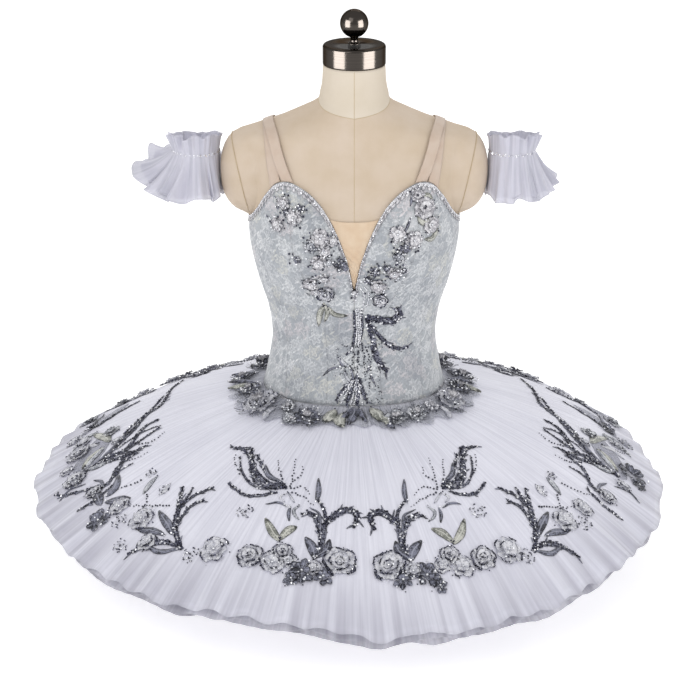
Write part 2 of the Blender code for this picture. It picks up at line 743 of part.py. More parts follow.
def main():
    clear_scene()
    tutu = collection("ballet_tutu")
    cutters = collection("cutters")
    build_form(tutu, cutters)
    build_board(tutu)
    build_neck_cap(tutu)
    build_finial(tutu)
    build_bodice(tutu)
    build_insert(tutu)
    build_straps(tutu)
    build_panty(tutu)
    build_nets(tutu)
    build_wreath(tutu)
    build_armlets(tutu)


main()
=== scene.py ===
# %% [markdown]
# # A classical tutu on its dress form
# The CAD model is the pattern: walls of even thickness, the large folds and nothing sewn on.
# Here every piece of it gets its cloth, its soft creases and its trimming. The CAD model is
# loaded first, because each new piece rides on its body and stands in for its nodes.

import math

import bpy
import numpy as np
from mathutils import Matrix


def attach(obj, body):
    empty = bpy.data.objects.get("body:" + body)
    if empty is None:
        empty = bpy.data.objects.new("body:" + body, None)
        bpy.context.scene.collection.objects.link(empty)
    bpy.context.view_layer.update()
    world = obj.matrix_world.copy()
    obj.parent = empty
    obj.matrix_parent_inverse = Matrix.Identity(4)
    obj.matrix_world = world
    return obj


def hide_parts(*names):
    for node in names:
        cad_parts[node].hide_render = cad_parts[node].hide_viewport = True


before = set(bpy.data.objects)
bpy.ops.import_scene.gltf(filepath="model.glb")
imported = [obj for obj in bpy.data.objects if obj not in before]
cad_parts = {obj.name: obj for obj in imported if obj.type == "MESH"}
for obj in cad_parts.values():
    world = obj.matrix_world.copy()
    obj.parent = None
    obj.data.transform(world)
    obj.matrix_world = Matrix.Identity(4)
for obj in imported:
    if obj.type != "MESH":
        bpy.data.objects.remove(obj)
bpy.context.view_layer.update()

# %% [markdown]
# ## Colours, shader nodes and meshes
# Colours are written as they look on a screen, in sRGB hex, and Blender's sockets want them
# linear. One helper adds a shader node, and one puts numpy arrays into a mesh. A surface is
# always a grid of points, so its faces come from the grid's own numbering.


# %% Colour and nodes
def linear(hexcode):
    """A hex colour as linear RGBA: ((c + 0.055) / 1.055) ** 2.4, or c / 12.92 where it is dark."""
    part = np.array([int(hexcode[i : i + 2], 16) for i in (0, 2, 4)]) / 255
    part = np.where(part <= 0.04045, part / 12.92, ((part + 0.055) / 1.055) ** 2.4)
    return (*part.tolist(), 1.0)


def finish(name, **sockets):
    """A new material, with constant values set on its Principled shader's own sockets."""
    made = bpy.data.materials.new(name)
    made.use_nodes = True
    for key, value in sockets.items():
        value = linear(value) if isinstance(value, str) else value
        made.node_tree.nodes["Principled BSDF"].inputs[key.replace("_", " ")].default_value = value
    return made, made.node_tree


def add(tree, kind, links=(), ramp=(), out=0, into=None, **settings):
    """Adds one node, such as "Math ADD", and returns one of its outputs, or all if out is None.

    links gives its sockets values or outputs, ramp gives (place, hex) stops, and into names the
    shader's socket that it feeds."""
    kind, _, operation = kind.partition(" ")
    node = tree.nodes.new("ShaderNode" + kind)
    if operation:
        node.operation = operation
    for key, value in settings.items():
        setattr(node, key, value)
    for key, value in links.items() if isinstance(links, dict) else enumerate(links):
        if isinstance(value, bpy.types.NodeSocket):
            tree.links.new(value, node.inputs[key])
        else:
            node.inputs[key].default_value = value
    while ramp and len(ramp) > len(node.color_ramp.elements):
        node.color_ramp.elements.new(0.5)
    for stop, (place, colour) in zip(node.color_ramp.elements if ramp else (), ramp):
        stop.position, stop.color = place, linear(colour)
    if into:
        tree.links.new(node.outputs[out], tree.nodes["Principled BSDF"].inputs[into])
    return node.outputs if out is None else node.outputs[out]


# %% Meshes
def grid_faces(rows, columns, closed=False, sign=1):
    """Each face joins a point, the one in the next row, and the same two of the next column.

    closed joins the last column to the first, and a sign of -1 turns the faces round, as a
    mirrored piece needs."""
    row = np.arange(rows - 1)[:, None] * columns
    near = np.arange(columns if closed else columns - 1)[None]
    far = (near + 1) % columns
    corners = (row + near, row + columns + near, row + columns + far, row + far)
    return np.stack(corners[::sign], axis=-1).reshape(-1, 4)


def new_piece(name, points, faces, material, uv=None, thickness=0.0):
    """A mesh object of points, and one or more arrays of faces (m, corners).

    A thickness makes it a wall, on the side that its normals point to."""
    points = np.asarray(points, np.float32).reshape(-1, 3)
    faces = [faces] if isinstance(faces, np.ndarray) else faces
    corners = np.concatenate([block.ravel() for block in faces])
    sizes = np.concatenate([np.full(len(block), block.shape[1]) for block in faces])
    mesh = bpy.data.meshes.new(name)
    mesh.vertices.add(len(points))
    mesh.vertices.foreach_set("co", points.ravel())
    mesh.loops.add(len(corners))
    mesh.loops.foreach_set("vertex_index", corners.astype(np.int32))
    mesh.polygons.add(len(sizes))
    mesh.polygons.foreach_set("loop_start", (np.cumsum(sizes) - sizes).astype(np.int32))
    mesh.update(calc_edges=True)
    if uv is not None:
        layer = mesh.uv_layers.new(name="UVMap")
        layer.uv.foreach_set("vector", np.asarray(uv, np.float32).ravel())
    mesh.shade_smooth()
    for one in material if isinstance(material, list) else [material]:
        mesh.materials.append(one)
    piece = bpy.data.objects.new(name, mesh)
    bpy.context.scene.collection.objects.link(piece)
    if thickness:
        solid = piece.modifiers.new("wall", "SOLIDIFY")
        solid.thickness, solid.offset = thickness, 1.0
    return piece


def place(piece, slot, *nodes):
    """The piece rides on the one body and stands for these nodes; its slot is not used."""
    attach(piece, "root")
    if nodes:
        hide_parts(*nodes)
    print(piece.name, len(piece.data.polygons), "faces")
    return piece


# %% Measures
def unit(vectors):
    """Vectors made one long."""
    return vectors / np.linalg.norm(vectors, axis=-1, keepdims=True)


def steps(path):
    """The distance from each point of a path to the next."""
    return np.linalg.norm(np.diff(path, axis=0), axis=-1)


def travelled(path):
    """The distance along a path from its start to each of its points."""
    return np.concatenate([[0], np.cumsum(steps(path))])


def cloth_area(points, closed=False):
    """The area of a grid of points: half the cross product of each face's two diagonals."""
    grid = np.concatenate([points, points[:, :1]], axis=1) if closed else points
    one, other = grid[1:, 1:] - grid[:-1, :-1], grid[1:, :-1] - grid[:-1, 1:]
    return float(np.linalg.norm(np.cross(one, other), axis=-1).sum() / 2)


def circle(count):
    """Evenly spaced angles in degrees, all round."""
    return np.linspace(0, 360, count, endpoint=False)


def wrapped(angle):
    """The same angle, from -180 to 180 degrees."""
    return (angle + 180) % 360 - 180


# %% [markdown]
# ## The form's skin
# The dress form is a stack of level sections, each a rounded oblong with its own width, front
# and back depth, and two soft swellings for a general bust. All the clothing lies on this skin,
# so the same tables and the same formula as the CAD model's are used here.

# %% The form's tables
WAIST = 0.350  # height of the waist above the floor, metres
SECTIONS = np.array([  # height above the waist, half width, front depth, back depth, power
    (-0.3376, 0.155, 0.098, 0.114, 2.4), (-0.270, 0.166, 0.105, 0.129, 2.4),
    (-0.200, 0.168, 0.108, 0.132, 2.35), (-0.130, 0.155, 0.105, 0.118, 2.3),
    (-0.080, 0.139, 0.099, 0.103, 2.25), (-0.040, 0.1305, 0.094, 0.092, 2.2),
    (0.000, 0.1242, 0.091, 0.087, 2.2), (0.050, 0.1292, 0.096, 0.091, 2.2),
    (0.100, 0.1440, 0.104, 0.097, 2.25), (0.140, 0.1535, 0.109, 0.101, 2.25),
    (0.175, 0.1580, 0.110, 0.103, 2.3), (0.210, 0.1560, 0.106, 0.104, 2.3),
    (0.250, 0.1590, 0.096, 0.102, 2.25), (0.290, 0.1680, 0.083, 0.097, 2.15),
    (0.316, 0.1740, 0.074, 0.090, 2.05), (0.329, 0.1710, 0.070, 0.085, 2),
    (0.3405, 0.1390, 0.067, 0.080, 2), (0.350, 0.1100, 0.064, 0.075, 2),
    (0.361, 0.0810, 0.060, 0.068, 2), (0.372, 0.0595, 0.056, 0.060, 2),
    (0.392, 0.0510, 0.050, 0.052, 2), (0.431, 0.0465, 0.0465, 0.0465, 2),
])
BUST_DEPTH, BUST_CENTRE, BUST_SPREAD = 0.024, (0.074, 0.178), (0.044, 0.056)


# %% The skin's formula
def smooth(x, xs, ys):
    """Cubic spans through the points (xs, ys), whose slopes are the points' own gradient."""
    x = np.clip(x, xs[0], xs[-1])
    slopes = np.gradient(ys, xs)
    i = np.clip(np.searchsorted(xs, x, side="right") - 1, 0, len(xs) - 2)
    span = xs[i + 1] - xs[i]
    t = (x - xs[i]) / span
    start = (1 + 2 * t) * (1 - t) ** 2 * ys[i] + t * (1 - t) ** 2 * span * slopes[i]
    end = t * t * (3 - 2 * t) * ys[i + 1] + t * t * (t - 1) * span * slopes[i + 1]
    return start + end


def look_up(table, x, column=1):
    """A smooth reading of a table's column, where its first column is x."""
    return smooth(x, table[:, 0], table[:, column])


def section(height):
    """Half width, front depth, back depth and corner power of the form at a height."""
    return [look_up(SECTIONS, height, column) for column in (1, 2, 3, 4)]


def bust(x, height):
    """A bell-shaped swelling on each side of the middle."""
    across = (np.abs(x) - BUST_CENTRE[0]) / BUST_SPREAD[0]
    up = (height - BUST_CENTRE[1]) / BUST_SPREAD[1]
    return BUST_DEPTH * np.exp(-(across**2) - up**2)


def skin(angle, height):
    """A superellipse at each height: x = half |sin|^(2/p), y = depth |cos|^(2/p), plus the bust."""
    angle, height = np.broadcast_arrays(np.asarray(angle, float), np.asarray(height, float))
    half, front, back, power = section(height)
    s, c = np.sin(np.radians(angle)), np.cos(np.radians(angle))
    x = half * np.sign(s) * np.abs(s) ** (2 / power)
    reach = np.abs(c) ** (2 / power)
    y = np.where(c > 0, -front * reach - bust(x, height) * reach**0.5, back * reach)
    return np.stack([x, y, WAIST + height], axis=-1)


def off_skin(angle, height, distance):
    """Points off the skin along its normal, which is the cross product of its two slopes."""
    along = skin(angle + 0.5, height) - skin(angle - 0.5, height)
    up = skin(angle, height + 0.002) - skin(angle, height - 0.002)
    return skin(angle, height) + unit(np.cross(along, up)) * np.asarray(distance)[..., None]


def inside_form(x, y, height):
    """Whether points lie in the form, from the same sections as its skin."""
    half, front, back, power = section(height)
    share = np.clip(np.abs(x) / half, 0, 1)
    reach = (1 - share**power) ** (1 / power)
    return (share < 1) & (y > -front * reach - bust(x, height) * reach**0.5) & (y < back * reach)


def angle_of(x, height):
    """The angle on the form's front at which its skin is this far from the middle."""
    half, _, _, power = section(np.asarray(height, float))
    share = np.clip((np.abs(x) / half) ** (power / 2), 0, 1)
    return np.sign(x) * np.degrees(np.arcsin(share))


print("waist", np.round(skin(90, 0.0), 4), "bust", np.round(skin(25, 0.178), 4))

# %% [markdown]
# ## Linen and the form's body
# The real form is a moulded shell with a tight linen cover, cut in a few panels and closed by
# flat seams, and a smoother jersey on its neck. Tight linen shows no folds, so its life comes
# from a fine plain weave, slubs and slightly uneven colour. The body and its two shoulder
# stumps are one skin: at every height the longer of the two reaches is taken, softly joined.


# %% Linen and jersey
def woven(name, pale, dark, thread, slub, bump, roughness):
    """A plain weave on Object coordinates: two crossed waves for the threads, noise for slubs."""
    made, tree = finish(name, Roughness=roughness)
    where = add(tree, "TexCoord", out="Object")
    # Real threads are 0.4 mm apart, which one dot of the picture can't hold: drawn at 0.8 mm.
    lines = {0: where, "Scale": 1 / thread / 2, "Distortion": 1.5, "Detail Scale": 3.0}
    warp = add(tree, "TexWave", lines, out="Fac", bands_direction="X")
    weft = add(tree, "TexWave", lines, out="Fac", bands_direction="Z")
    weave = add(tree, "Math MULTIPLY", (warp, weft))
    cloud = add(tree, "TexNoise", {0: where, "Scale": slub, "Detail": 6.0})
    mixed = add(tree, "Math MULTIPLY_ADD", (weave, 0.22, cloud))
    add(tree, "ValToRGB", (mixed,), ramp=((0.35, dark), (0.80, pale)), into="Base Color")
    add(tree, "Bump", {"Height": weave, "Strength": bump, "Distance": 0.0003}, into="Normal")
    return made


linen = woven("linen_plain_weave", "cfbfae", "c6b49e", 0.0013, 26.0, 0.30, 0.88)
jersey = woven("jersey_knit", "d9cebf", "d0c4b2", 0.0016, 18.0, 0.22, 0.90)
thread = woven("twisted_thread", "c8b698", "b3a07e", 0.0016, 60.0, 0.5, 0.80)

# %% The body with its shoulders
STUMP_CENTRE, STUMP_RADII, STUMP_POWER = (0.153, 0.005, 0.267), (0.051, 0.048, 0.0665), 2.4
STUMP_JOIN = 0.0025  # how softly a stump runs into the body, in metres
NECK_FOOT, NECK_TOP = 0.372, 0.431
# Where the neck's cover is joined. columns: angle from the front, height above the waist
COLLAR = np.array([(0, 0.362), (45, 0.3705), (90, 0.379), (180, 0.385)])


def stump_reach(turn, height):
    """How far a shoulder stump reaches from the form's axis, in a direction given in radians."""
    rays = np.linspace(0.08, 0.24, 81)
    x = np.abs(rays * np.sin(turn)[..., None]) - STUMP_CENTRE[0]
    y = -rays * np.cos(turn)[..., None] - STUMP_CENTRE[1]
    z = (height - STUMP_CENTRE[2])[..., None]
    parts = (x / STUMP_RADII[0], y / STUMP_RADII[1], z / STUMP_RADII[2])
    gauge = sum(np.abs(part) ** STUMP_POWER for part in parts) ** (1 / STUMP_POWER)
    inside = gauge < 1
    last = np.clip(len(rays) - 1 - np.argmax(inside[..., ::-1], axis=-1), 0, len(rays) - 2)
    before = np.take_along_axis(gauge, last[..., None], -1)[..., 0]
    after = np.take_along_axis(gauge, last[..., None] + 1, -1)[..., 0]
    far = rays[last] + (rays[1] - rays[0]) * (1 - before) / (after - before)
    near = rays[np.argmin(gauge, axis=-1)] - 0.15 * (gauge.min(axis=-1) - 1)
    return np.where(inside.any(axis=-1), far, near)


def body_points(angle, height):
    """The skin, pushed out to the stumps: the soft maximum of the two reaches."""
    points = skin(angle, height)
    reach = np.hypot(points[..., 0], points[..., 1])
    turn = np.arctan2(points[..., 0], -points[..., 1])
    other = stump_reach(turn, np.broadcast_to(height, reach.shape))
    gap = np.clip(reach - other, -20 * STUMP_JOIN, 20 * STUMP_JOIN)
    joined = other + STUMP_JOIN * np.log1p(np.exp(gap / STUMP_JOIN))
    points[..., :2] *= (np.maximum(joined, reach) / reach)[..., None]
    return points


def collar(angle):
    """The height of the neck cover's join: a smooth curve through its table, the same each side."""
    return look_up(COLLAR, np.abs(wrapped(angle)))


# The rows are evenly spaced along the side's outline, so that the shoulders get their share.
BODY_COLUMNS, BODY_ROWS, NECK_ROWS = 160, 96, 15
angles = circle(BODY_COLUMNS)
trial = np.linspace(SECTIONS[0, 0], NECK_FOOT, 900)
side = body_points(np.full(900, 90.0), trial)
length = np.concatenate([[0], np.cumsum(np.hypot(*np.diff(side[:, [0, 2]], axis=0).T))])
shares = np.interp(np.linspace(0, length[-1], BODY_ROWS), length, trial)
shares = (shares - trial[0]) / (trial[-1] - trial[0])
low = SECTIONS[0, 0] + (collar(angles) - SECTIONS[0, 0]) * shares[:, None]
neck = np.linspace(0, 1, NECK_ROWS + 1)[1:, None]
high = collar(angles) + (NECK_TOP - collar(angles)) * neck
body = body_points(angles, np.vstack([low, high]))[::-1]
lids = [body[:1] * (s, s, 1) for s in (0.001, 0.5, 0.95)]
feet = [body[-1:] * (s, s, 1) for s in (0.97, 0.5, 0.001)]
body = np.concatenate([*lids, body, *feet])
faces = grid_faces(len(body), BODY_COLUMNS, True)
torso = new_piece("form_body", body, faces, [linen, jersey])
neck_faces = np.arange(len(faces)) < (len(lids) + NECK_ROWS) * BODY_COLUMNS
torso.data.polygons.foreach_set("material_index", neck_faces.astype(np.int32))
place(torso, "form_linen", "form_torso")

# %% [markdown]
# ## The cover's seams
# The cover is sewn shut with flat seams: down the middle in front and behind, round both
# armholes and round the foot of the neck. A seam is a fine thread sunk into the cloth, which is
# a thin tube carried along a path. The tube's ring is turned by the path's own direction.


# %% Tubes and the seams
def tube(path, radius, sides=6, closed=False):
    """A ring carried along a path, square to the path's slope. Returns points and faces."""
    slope = (np.roll(path, -1, 0) - np.roll(path, 1, 0)) if closed else np.gradient(path, axis=0)
    slope = unit(slope)
    lean = np.where(np.abs(slope[:, 2:]) < 0.9, (0.0, 0.0, 1.0), (1.0, 0.0, 0.0))
    across = unit(np.cross(lean, slope))
    up = np.cross(slope, across)
    turn = np.linspace(0, 2 * np.pi, sides, endpoint=False)[None, :, None]
    radius = np.broadcast_to(radius, len(path))[:, None, None]
    points = path[:, None] + radius * (np.cos(turn) * across[:, None] + np.sin(turn) * up[:, None])
    faces = grid_faces(len(path) + closed, sides, True, -1) % (len(path) * sides)
    end = np.arange(sides)[None]
    ends = [] if closed else [end, end[:, ::-1] + (len(path) - 1) * sides]
    return points.reshape(-1, 3), [faces, *ends]


def joined(parts):
    """Several (points, faces) as one, each one's numbering moved past those before it."""
    starts = np.cumsum([0] + [len(points) for points, _ in parts])
    blocks = {}
    for start, (_, faces) in zip(starts, parts):
        for block in [faces] if isinstance(faces, np.ndarray) else faces:
            blocks.setdefault(block.shape[1], []).append(block + start)
    merged = [np.concatenate(group) for group in blocks.values()]
    return np.concatenate([points for points, _ in parts]), merged


ARMHOLE_OUT = 1.003  # the thread's ring, as a share of the stump's size
ARMHOLE_X, ARMHOLE_TOP, ARMHOLE_LEAN = 0.184, 0.325, 0.20  # the plane that cuts the stump


def armhole(sign):
    """The stump cut by a leaning plane: an upright superellipse, slightly off it."""
    turn = np.linspace(0, 2 * np.pi, 96, endpoint=False)
    ring = [np.sign(f(turn)) * np.abs(f(turn)) ** (2 / STUMP_POWER) for f in (np.cos, np.sin)]
    height = STUMP_CENTRE[2] + STUMP_RADII[2] * ARMHOLE_OUT * ring[1]
    y = STUMP_CENTRE[1] + STUMP_RADII[1] * ARMHOLE_OUT * ring[0]
    x = ARMHOLE_X - (ARMHOLE_TOP - height) * ARMHOLE_LEAN
    shrink = (1 - np.abs((x - STUMP_CENTRE[0]) / STUMP_RADII[0]) ** STUMP_POWER) ** 0.4
    y = STUMP_CENTRE[1] + (y - STUMP_CENTRE[1]) * shrink
    height = STUMP_CENTRE[2] + (height - STUMP_CENTRE[2]) * shrink
    return np.stack([sign * x, y, WAIST + height], axis=1)


SEAM_RADIUS, ARMHOLE_RADIUS, SEAM_TOP = 0.0005, 0.0006, 0.4295
front = off_skin(0.0, np.linspace(0.16, SEAM_TOP, 80), -0.0002)
back = off_skin(180.0, np.linspace(0.10, SEAM_TOP, 80), -0.0002)
ring = off_skin(circle(120), collar(circle(120)), -0.0001)
threads = [tube(front, SEAM_RADIUS), tube(back, SEAM_RADIUS), tube(ring, SEAM_RADIUS, 6, True)]
threads += [tube(armhole(sign), ARMHOLE_RADIUS, 6, True) for sign in (-1, 1)]
place(new_piece("form_seams", *joined(threads), thread), "form_linen")

# %% [markdown]
# ## The board, the cap and the ball
# The form stands on a thin board, sawn from plywood and oiled. Its neck is closed by a turned
# steel cap with a dark nickel plate, polished to a soft shine, and a ball on a waisted stem is
# screwed into it. Turned pieces are a profile swung round the axis. The board is a plain slab,
# so the CAD node stays and only takes the wood.


# %% Wood and dark nickel
def plywood():
    """Grain drawn out along the board, by stretched noise."""
    made, tree = finish("birch_plywood_oiled", Roughness=0.55)
    where = add(tree, "TexCoord", out="Object")
    long = add(tree, "Mapping", {0: where, "Scale": (3.0, 40.0, 90.0)})
    grain = add(tree, "TexNoise", {0: long, "Scale": 1.6, "Detail": 8.0})
    add(tree, "ValToRGB", (grain,), ramp=((0.3, "9a6b3f"), (0.7, "c79a68")), into="Base Color")
    add(tree, "Bump", {"Height": grain, "Strength": 0.2, "Distance": 0.0004}, into="Normal")
    return made


def nickel():
    """Polished plate on turned steel: rings round the axis are just fine enough to blur it.

    Dark nickel loses its shine where it is seen at a slant, which is its specular tint."""
    made, tree = finish("dark_nickel_plate_turned", Metallic=1.0, Specular_Tint="a8a6a4")
    where = add(tree, "TexCoord", out="Object")
    rings = add(tree, "Mapping", {0: where, "Scale": (4.0, 4.0, 900.0)})
    lines = add(tree, "TexNoise", {0: rings, "Scale": 1.0, "Detail": 3.0})
    add(tree, "ValToRGB", (lines,), ramp=((0.3, "3d3936"), (0.7, "4a4541")), into="Base Color")
    add(tree, "MapRange", {0: lines, 3: 0.12, 4: 0.20}, into="Roughness")
    add(tree, "Bump", {"Height": lines, "Strength": 0.02, "Distance": 0.0001}, into="Normal")
    return made


dark_nickel = nickel()
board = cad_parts["base_board"]
board.data.materials.clear()
board.data.materials.append(plywood())
print("the board keeps its CAD mesh:", len(board.data.polygons), "faces")


# %% Turned pieces
def turned(name, profile, columns, material):
    """A profile of (radius, height) swung round the axis; its first and last radius are nought."""
    profile = np.array(profile)
    turn = np.linspace(0, 2 * np.pi, columns, endpoint=False)
    ring = profile[1:-1, :1, None] * np.stack([np.sin(turn), -np.cos(turn)], axis=-1)
    level = np.broadcast_to(profile[1:-1, 1, None, None], (*ring.shape[:2], 1))
    points = np.concatenate([ring, level], axis=-1).reshape(-1, 3)
    count = len(points)
    poles = np.array([(0, 0, profile[0, 1]), (0, 0, profile[-1, 1])])
    near = np.arange(columns)
    far = (near + 1) % columns
    top = np.stack([np.full(columns, count), near, far], axis=1)
    below = count - columns
    low = np.stack([np.full(columns, count + 1), below + far, below + near], axis=1)
    sides = grid_faces(len(profile) - 2, columns, True)
    return new_piece(name, np.vstack([points, poles]), [sides, top, low], material)


def arc(radius, x, z, start, end, count):
    """Points on a circle round (x, z), for angles up from level, in degrees."""
    a = np.radians(np.linspace(start, end, count))
    return list(zip(x + radius * np.cos(a), z + radius * np.sin(a)))


GAP = 0.0004
CAP_HEIGHT, CAP_RADIUS, CAP_EDGE = 0.030, 0.0474, 0.004
cap_foot = WAIST + NECK_TOP + GAP
cap_top = cap_foot + CAP_HEIGHT
cap = [(0.0, cap_top - 0.0006), (0.008, cap_top - 0.0006), (0.0085, cap_top)]
cap += arc(CAP_EDGE, CAP_RADIUS - CAP_EDGE, cap_top - CAP_EDGE, 90, 0, 9)
cap += [(CAP_RADIUS, cap_top - 0.0050)]
cap += [(CAP_RADIUS, cap_foot + 0.0022), (CAP_RADIUS, cap_foot + 0.0012)]
cap += [(0.0468, cap_foot + 0.0003), (0.0460, cap_foot), (0.0, cap_foot)]
neck_cap = place(turned("neck_cap_turned", cap, 96, dark_nickel), "cap_metal", "neck_cap")
foot = cap_top + GAP
BALL, LIFT, STEM, STEM_FLARE = 0.0213, 0.0305, 0.0055, 0.004
open_angle = math.degrees(math.acos(STEM / BALL))
ball = arc(BALL, 0.0, foot + LIFT, 90, -open_angle, 32)
ball[0] = (0.0, foot + LIFT + BALL)
ball += arc(STEM_FLARE, STEM + STEM_FLARE, foot + 0.0052, 180, 262, 7)
ball += [(STEM + STEM_FLARE, foot + 0.0004), (STEM + STEM_FLARE, foot), (0.0, foot)]
finial = place(turned("ball_finial_turned", ball, 64, dark_nickel), "cap_metal", "finial")

# %% [markdown]
# ## Brocade and the bodice
# A tutu's bodice is cut in ten narrow panels of silk brocade on a firm coutil lining, so it lies
# on the body without a wrinkle. Brocade shows its flowers by a change of weave: the ground is
# dull blue grey and the flowers are glossy pale threads. The flowers are drawn by polar
# coordinates round scattered points: a petal is a bump of the radius as the angle goes round.


# %% Brocade
def brocade_cloth():
    """Flowers and leaves on a ground, in metres of the panel's own UV map."""
    made, tree = finish("silk_brocade_woven", Sheen_Weight=0.25, Sheen_Roughness=0.4)
    uv = add(tree, "TexCoord", out="UV")

    def scattered(scale, angle, seed):
        """Distance and direction from the nearest scattered point, and its random number."""
        shift = {0: uv, "Location": (seed, seed * 0.7, 0), "Rotation": (0, 0, angle)}
        moved = add(tree, "Mapping", shift)
        cells = {0: moved, "Scale": scale, "Randomness": 0.75}
        cells = add(tree, "TexVoronoi", cells, out=None, voronoi_dimensions="2D")
        away = add(tree, "VectorMath SUBTRACT", (moved, cells["Position"]))
        parts = add(tree, "SeparateXYZ", (away,), out=None)
        reach = add(tree, "VectorMath LENGTH", (away,), out="Value")
        lot = add(tree, "SeparateColor", (cells["Color"],))
        return add(tree, "Math MULTIPLY", (reach, scale)), parts, lot

    def flower(scale, petals, size, depth, seed):
        """Light inside a petalled outline, dark just inside its edge, and a lit heart."""
        reach, parts, lot = scattered(scale, 0.0, seed)
        turn = add(tree, "Math ARCTAN2", (parts[1], parts[0]))
        turn = add(tree, "Math MULTIPLY_ADD", (lot, 9.0, turn))
        wave = add(tree, "Math COSINE", (add(tree, "Math MULTIPLY", (turn, petals)),))
        edge = add(tree, "Math MULTIPLY_ADD", (wave, depth, size))
        inside = add(tree, "Math SUBTRACT", (edge, reach))
        solid = add(tree, "MapRange", (inside, -0.008, 0.018))
        vein = add(tree, "MapRange", (inside, 0.05, 0.09, 0.0, 0.75))
        heart = add(tree, "MapRange", (reach, 0.06, 0.12, 0.8, 0.0))
        veined = add(tree, "Math SUBTRACT", (solid, vein), use_clamp=True)
        return add(tree, "Math MAXIMUM", (veined, heart)), lot

    figure, lot = flower(34.0, 5.0, 0.31, 0.085, 0.31)
    small, _ = flower(64.0, 6.0, 0.27, 0.10, 0.77)
    _, parts, _ = scattered(56.0, 0.9, 0.53)
    wide, long = (add(tree, "Math MULTIPLY", (parts[axis], 56.0)) for axis in (0, 1))
    bow = add(tree, "Math MULTIPLY", (add(tree, "Math POWER", (long, 2.0)), 0.8))
    bow = add(tree, "Math SUBTRACT", (0.10, bow))
    bow = add(tree, "Math SUBTRACT", (bow, add(tree, "Math ABSOLUTE", (wide,))))
    leaf = add(tree, "MapRange", (bow, 0.0, 0.03))
    vines = add(tree, "TexNoise", {0: uv, "Scale": 44.0, "Detail": 1.0, "Distortion": 0.6})
    band = add(tree, "Math ABSOLUTE", (add(tree, "Math SUBTRACT", (vines, 0.5)),))
    vine = add(tree, "MapRange", (band, 0.012, 0.035, 0.55, 0.0))
    for other in (small, leaf, vine):
        figure = add(tree, "Math MAXIMUM", (figure, other))
    cloud = add(tree, "TexNoise", {0: uv, "Scale": 16.0, "Detail": 5.0})
    fade = add(tree, "MapRange", (cloud, 0.30, 0.62, 0.54, 0.98))
    figure = add(tree, "Math MULTIPLY", (figure, fade))
    ground = add(tree, "ValToRGB", (cloud,), ramp=((0.32, "969aa1"), (0.62, "acb0b5")))
    hues = (0.0, "cdcfd2"), (0.30, "cdcdc8"), (0.42, "d6d8da"), (0.72, "d0cbce"), (0.84, "dcdddf")
    tint = add(tree, "ValToRGB", (lot,), ramp=hues)
    tint.node.color_ramp.interpolation = "CONSTANT"
    colour = add(tree, "Mix", {0: figure, 6: ground, 7: tint}, out=2, data_type="RGBA")
    # Brocade threads are 0.2 mm apart: too fine to show, so the weave is drawn 2.5 by 4 mm.
    across = add(tree, "Mapping", {0: uv, "Scale": (400.0, 240.0, 1.0)})
    threads = add(tree, "TexNoise", {0: across, "Scale": 1.0, "Detail": 2.0})
    shade = add(tree, "MapRange", (threads, 0.25, 0.75, 0.78, 1.16))
    grey = add(tree, "CombineXYZ", (shade, shade, shade))
    add(tree, "VectorMath MULTIPLY", (colour, grey), into="Base Color")
    add(tree, "MapRange", {0: figure, 3: 0.62, 4: 0.36}, into="Roughness")
    height = add(tree, "Math MULTIPLY_ADD", (threads, 0.5, figure))
    add(tree, "Bump", {"Height": height, "Strength": 0.55, "Distance": 0.0006}, into="Normal")
    return made


brocade = brocade_cloth()
print(len(brocade.node_tree.nodes), "nodes in the brocade")

# %% [markdown]
# ## The bodice's cut
# The neckline is a table of heights by angle, and so is each seam. A panel runs between two
# seams and its columns are cut off at the neckline, found by halving. The outer face swells a
# little between the seams, because the seam allowances are pressed flat and the coutil is firm.

# %% The bodice's tables
CLEARANCE, BODICE_WALL, BODICE_HEM = 0.0010, 0.0020, -0.082
BODICE_RADIUS, SEAM_REACH = 0.135, 0.16  # its mean and largest distance from the axis
NECKLINE = np.array([  # angle in degrees, height above the waist
    (0, 0.100), (1, 0.122), (2.6, 0.152), (5.5, 0.184), (9.5, 0.212), (14, 0.234), (20, 0.252),
    (27, 0.264), (34, 0.270), (42, 0.267), (52, 0.250), (64, 0.224), (78, 0.205), (92, 0.198),
    (120, 0.194), (150, 0.186), (180, 0.178),
])
SEAMS = np.array([  # height above the waist, then each seam's angle in degrees
    (-0.090, 0, 15, 47, 98, 140, 180), (0.000, 0, 17, 52, 97, 141, 180),
    (0.090, 0, 21, 53, 97, 140, 180), (0.150, 0, 29, 64, 98, 138, 180),
    (0.210, 0, 34, 79, 100, 136, 180), (0.280, 0, 37, 88, 103, 134, 180),
])
PANELS = (  # name, crowding of the columns to the first seam, the flat cut's width and length
    ("centre_front", 1.6, 0.075, 0.330),
    ("side_front", 1.0, 0.098, 0.345),
    ("side", 1.0, 0.098, 0.300),
    ("side_back", 1.0, 0.082, 0.290),
    ("back", 1.0, 0.098, 0.275),
)
SIDES = (("left", -1), ("right", 1))


# %% The panels
def neckline(angle):
    """The top edge's height: a smooth curve through its table, the same on both sides."""
    return look_up(NECKLINE, np.abs(angle))


def seam(number, height):
    """A seam's angle at a height, from its own column of the table."""
    return look_up(SEAMS, height, 1 + number)


def panel_angles(number, shares, heights):
    """Each column's angle at its height, a share of the way between the two seams."""
    slack = math.degrees(GAP / 2 / SEAM_REACH)
    first, last = seam(number, heights) + slack, seam(number + 1, heights) - slack
    return first + (last - first) * shares


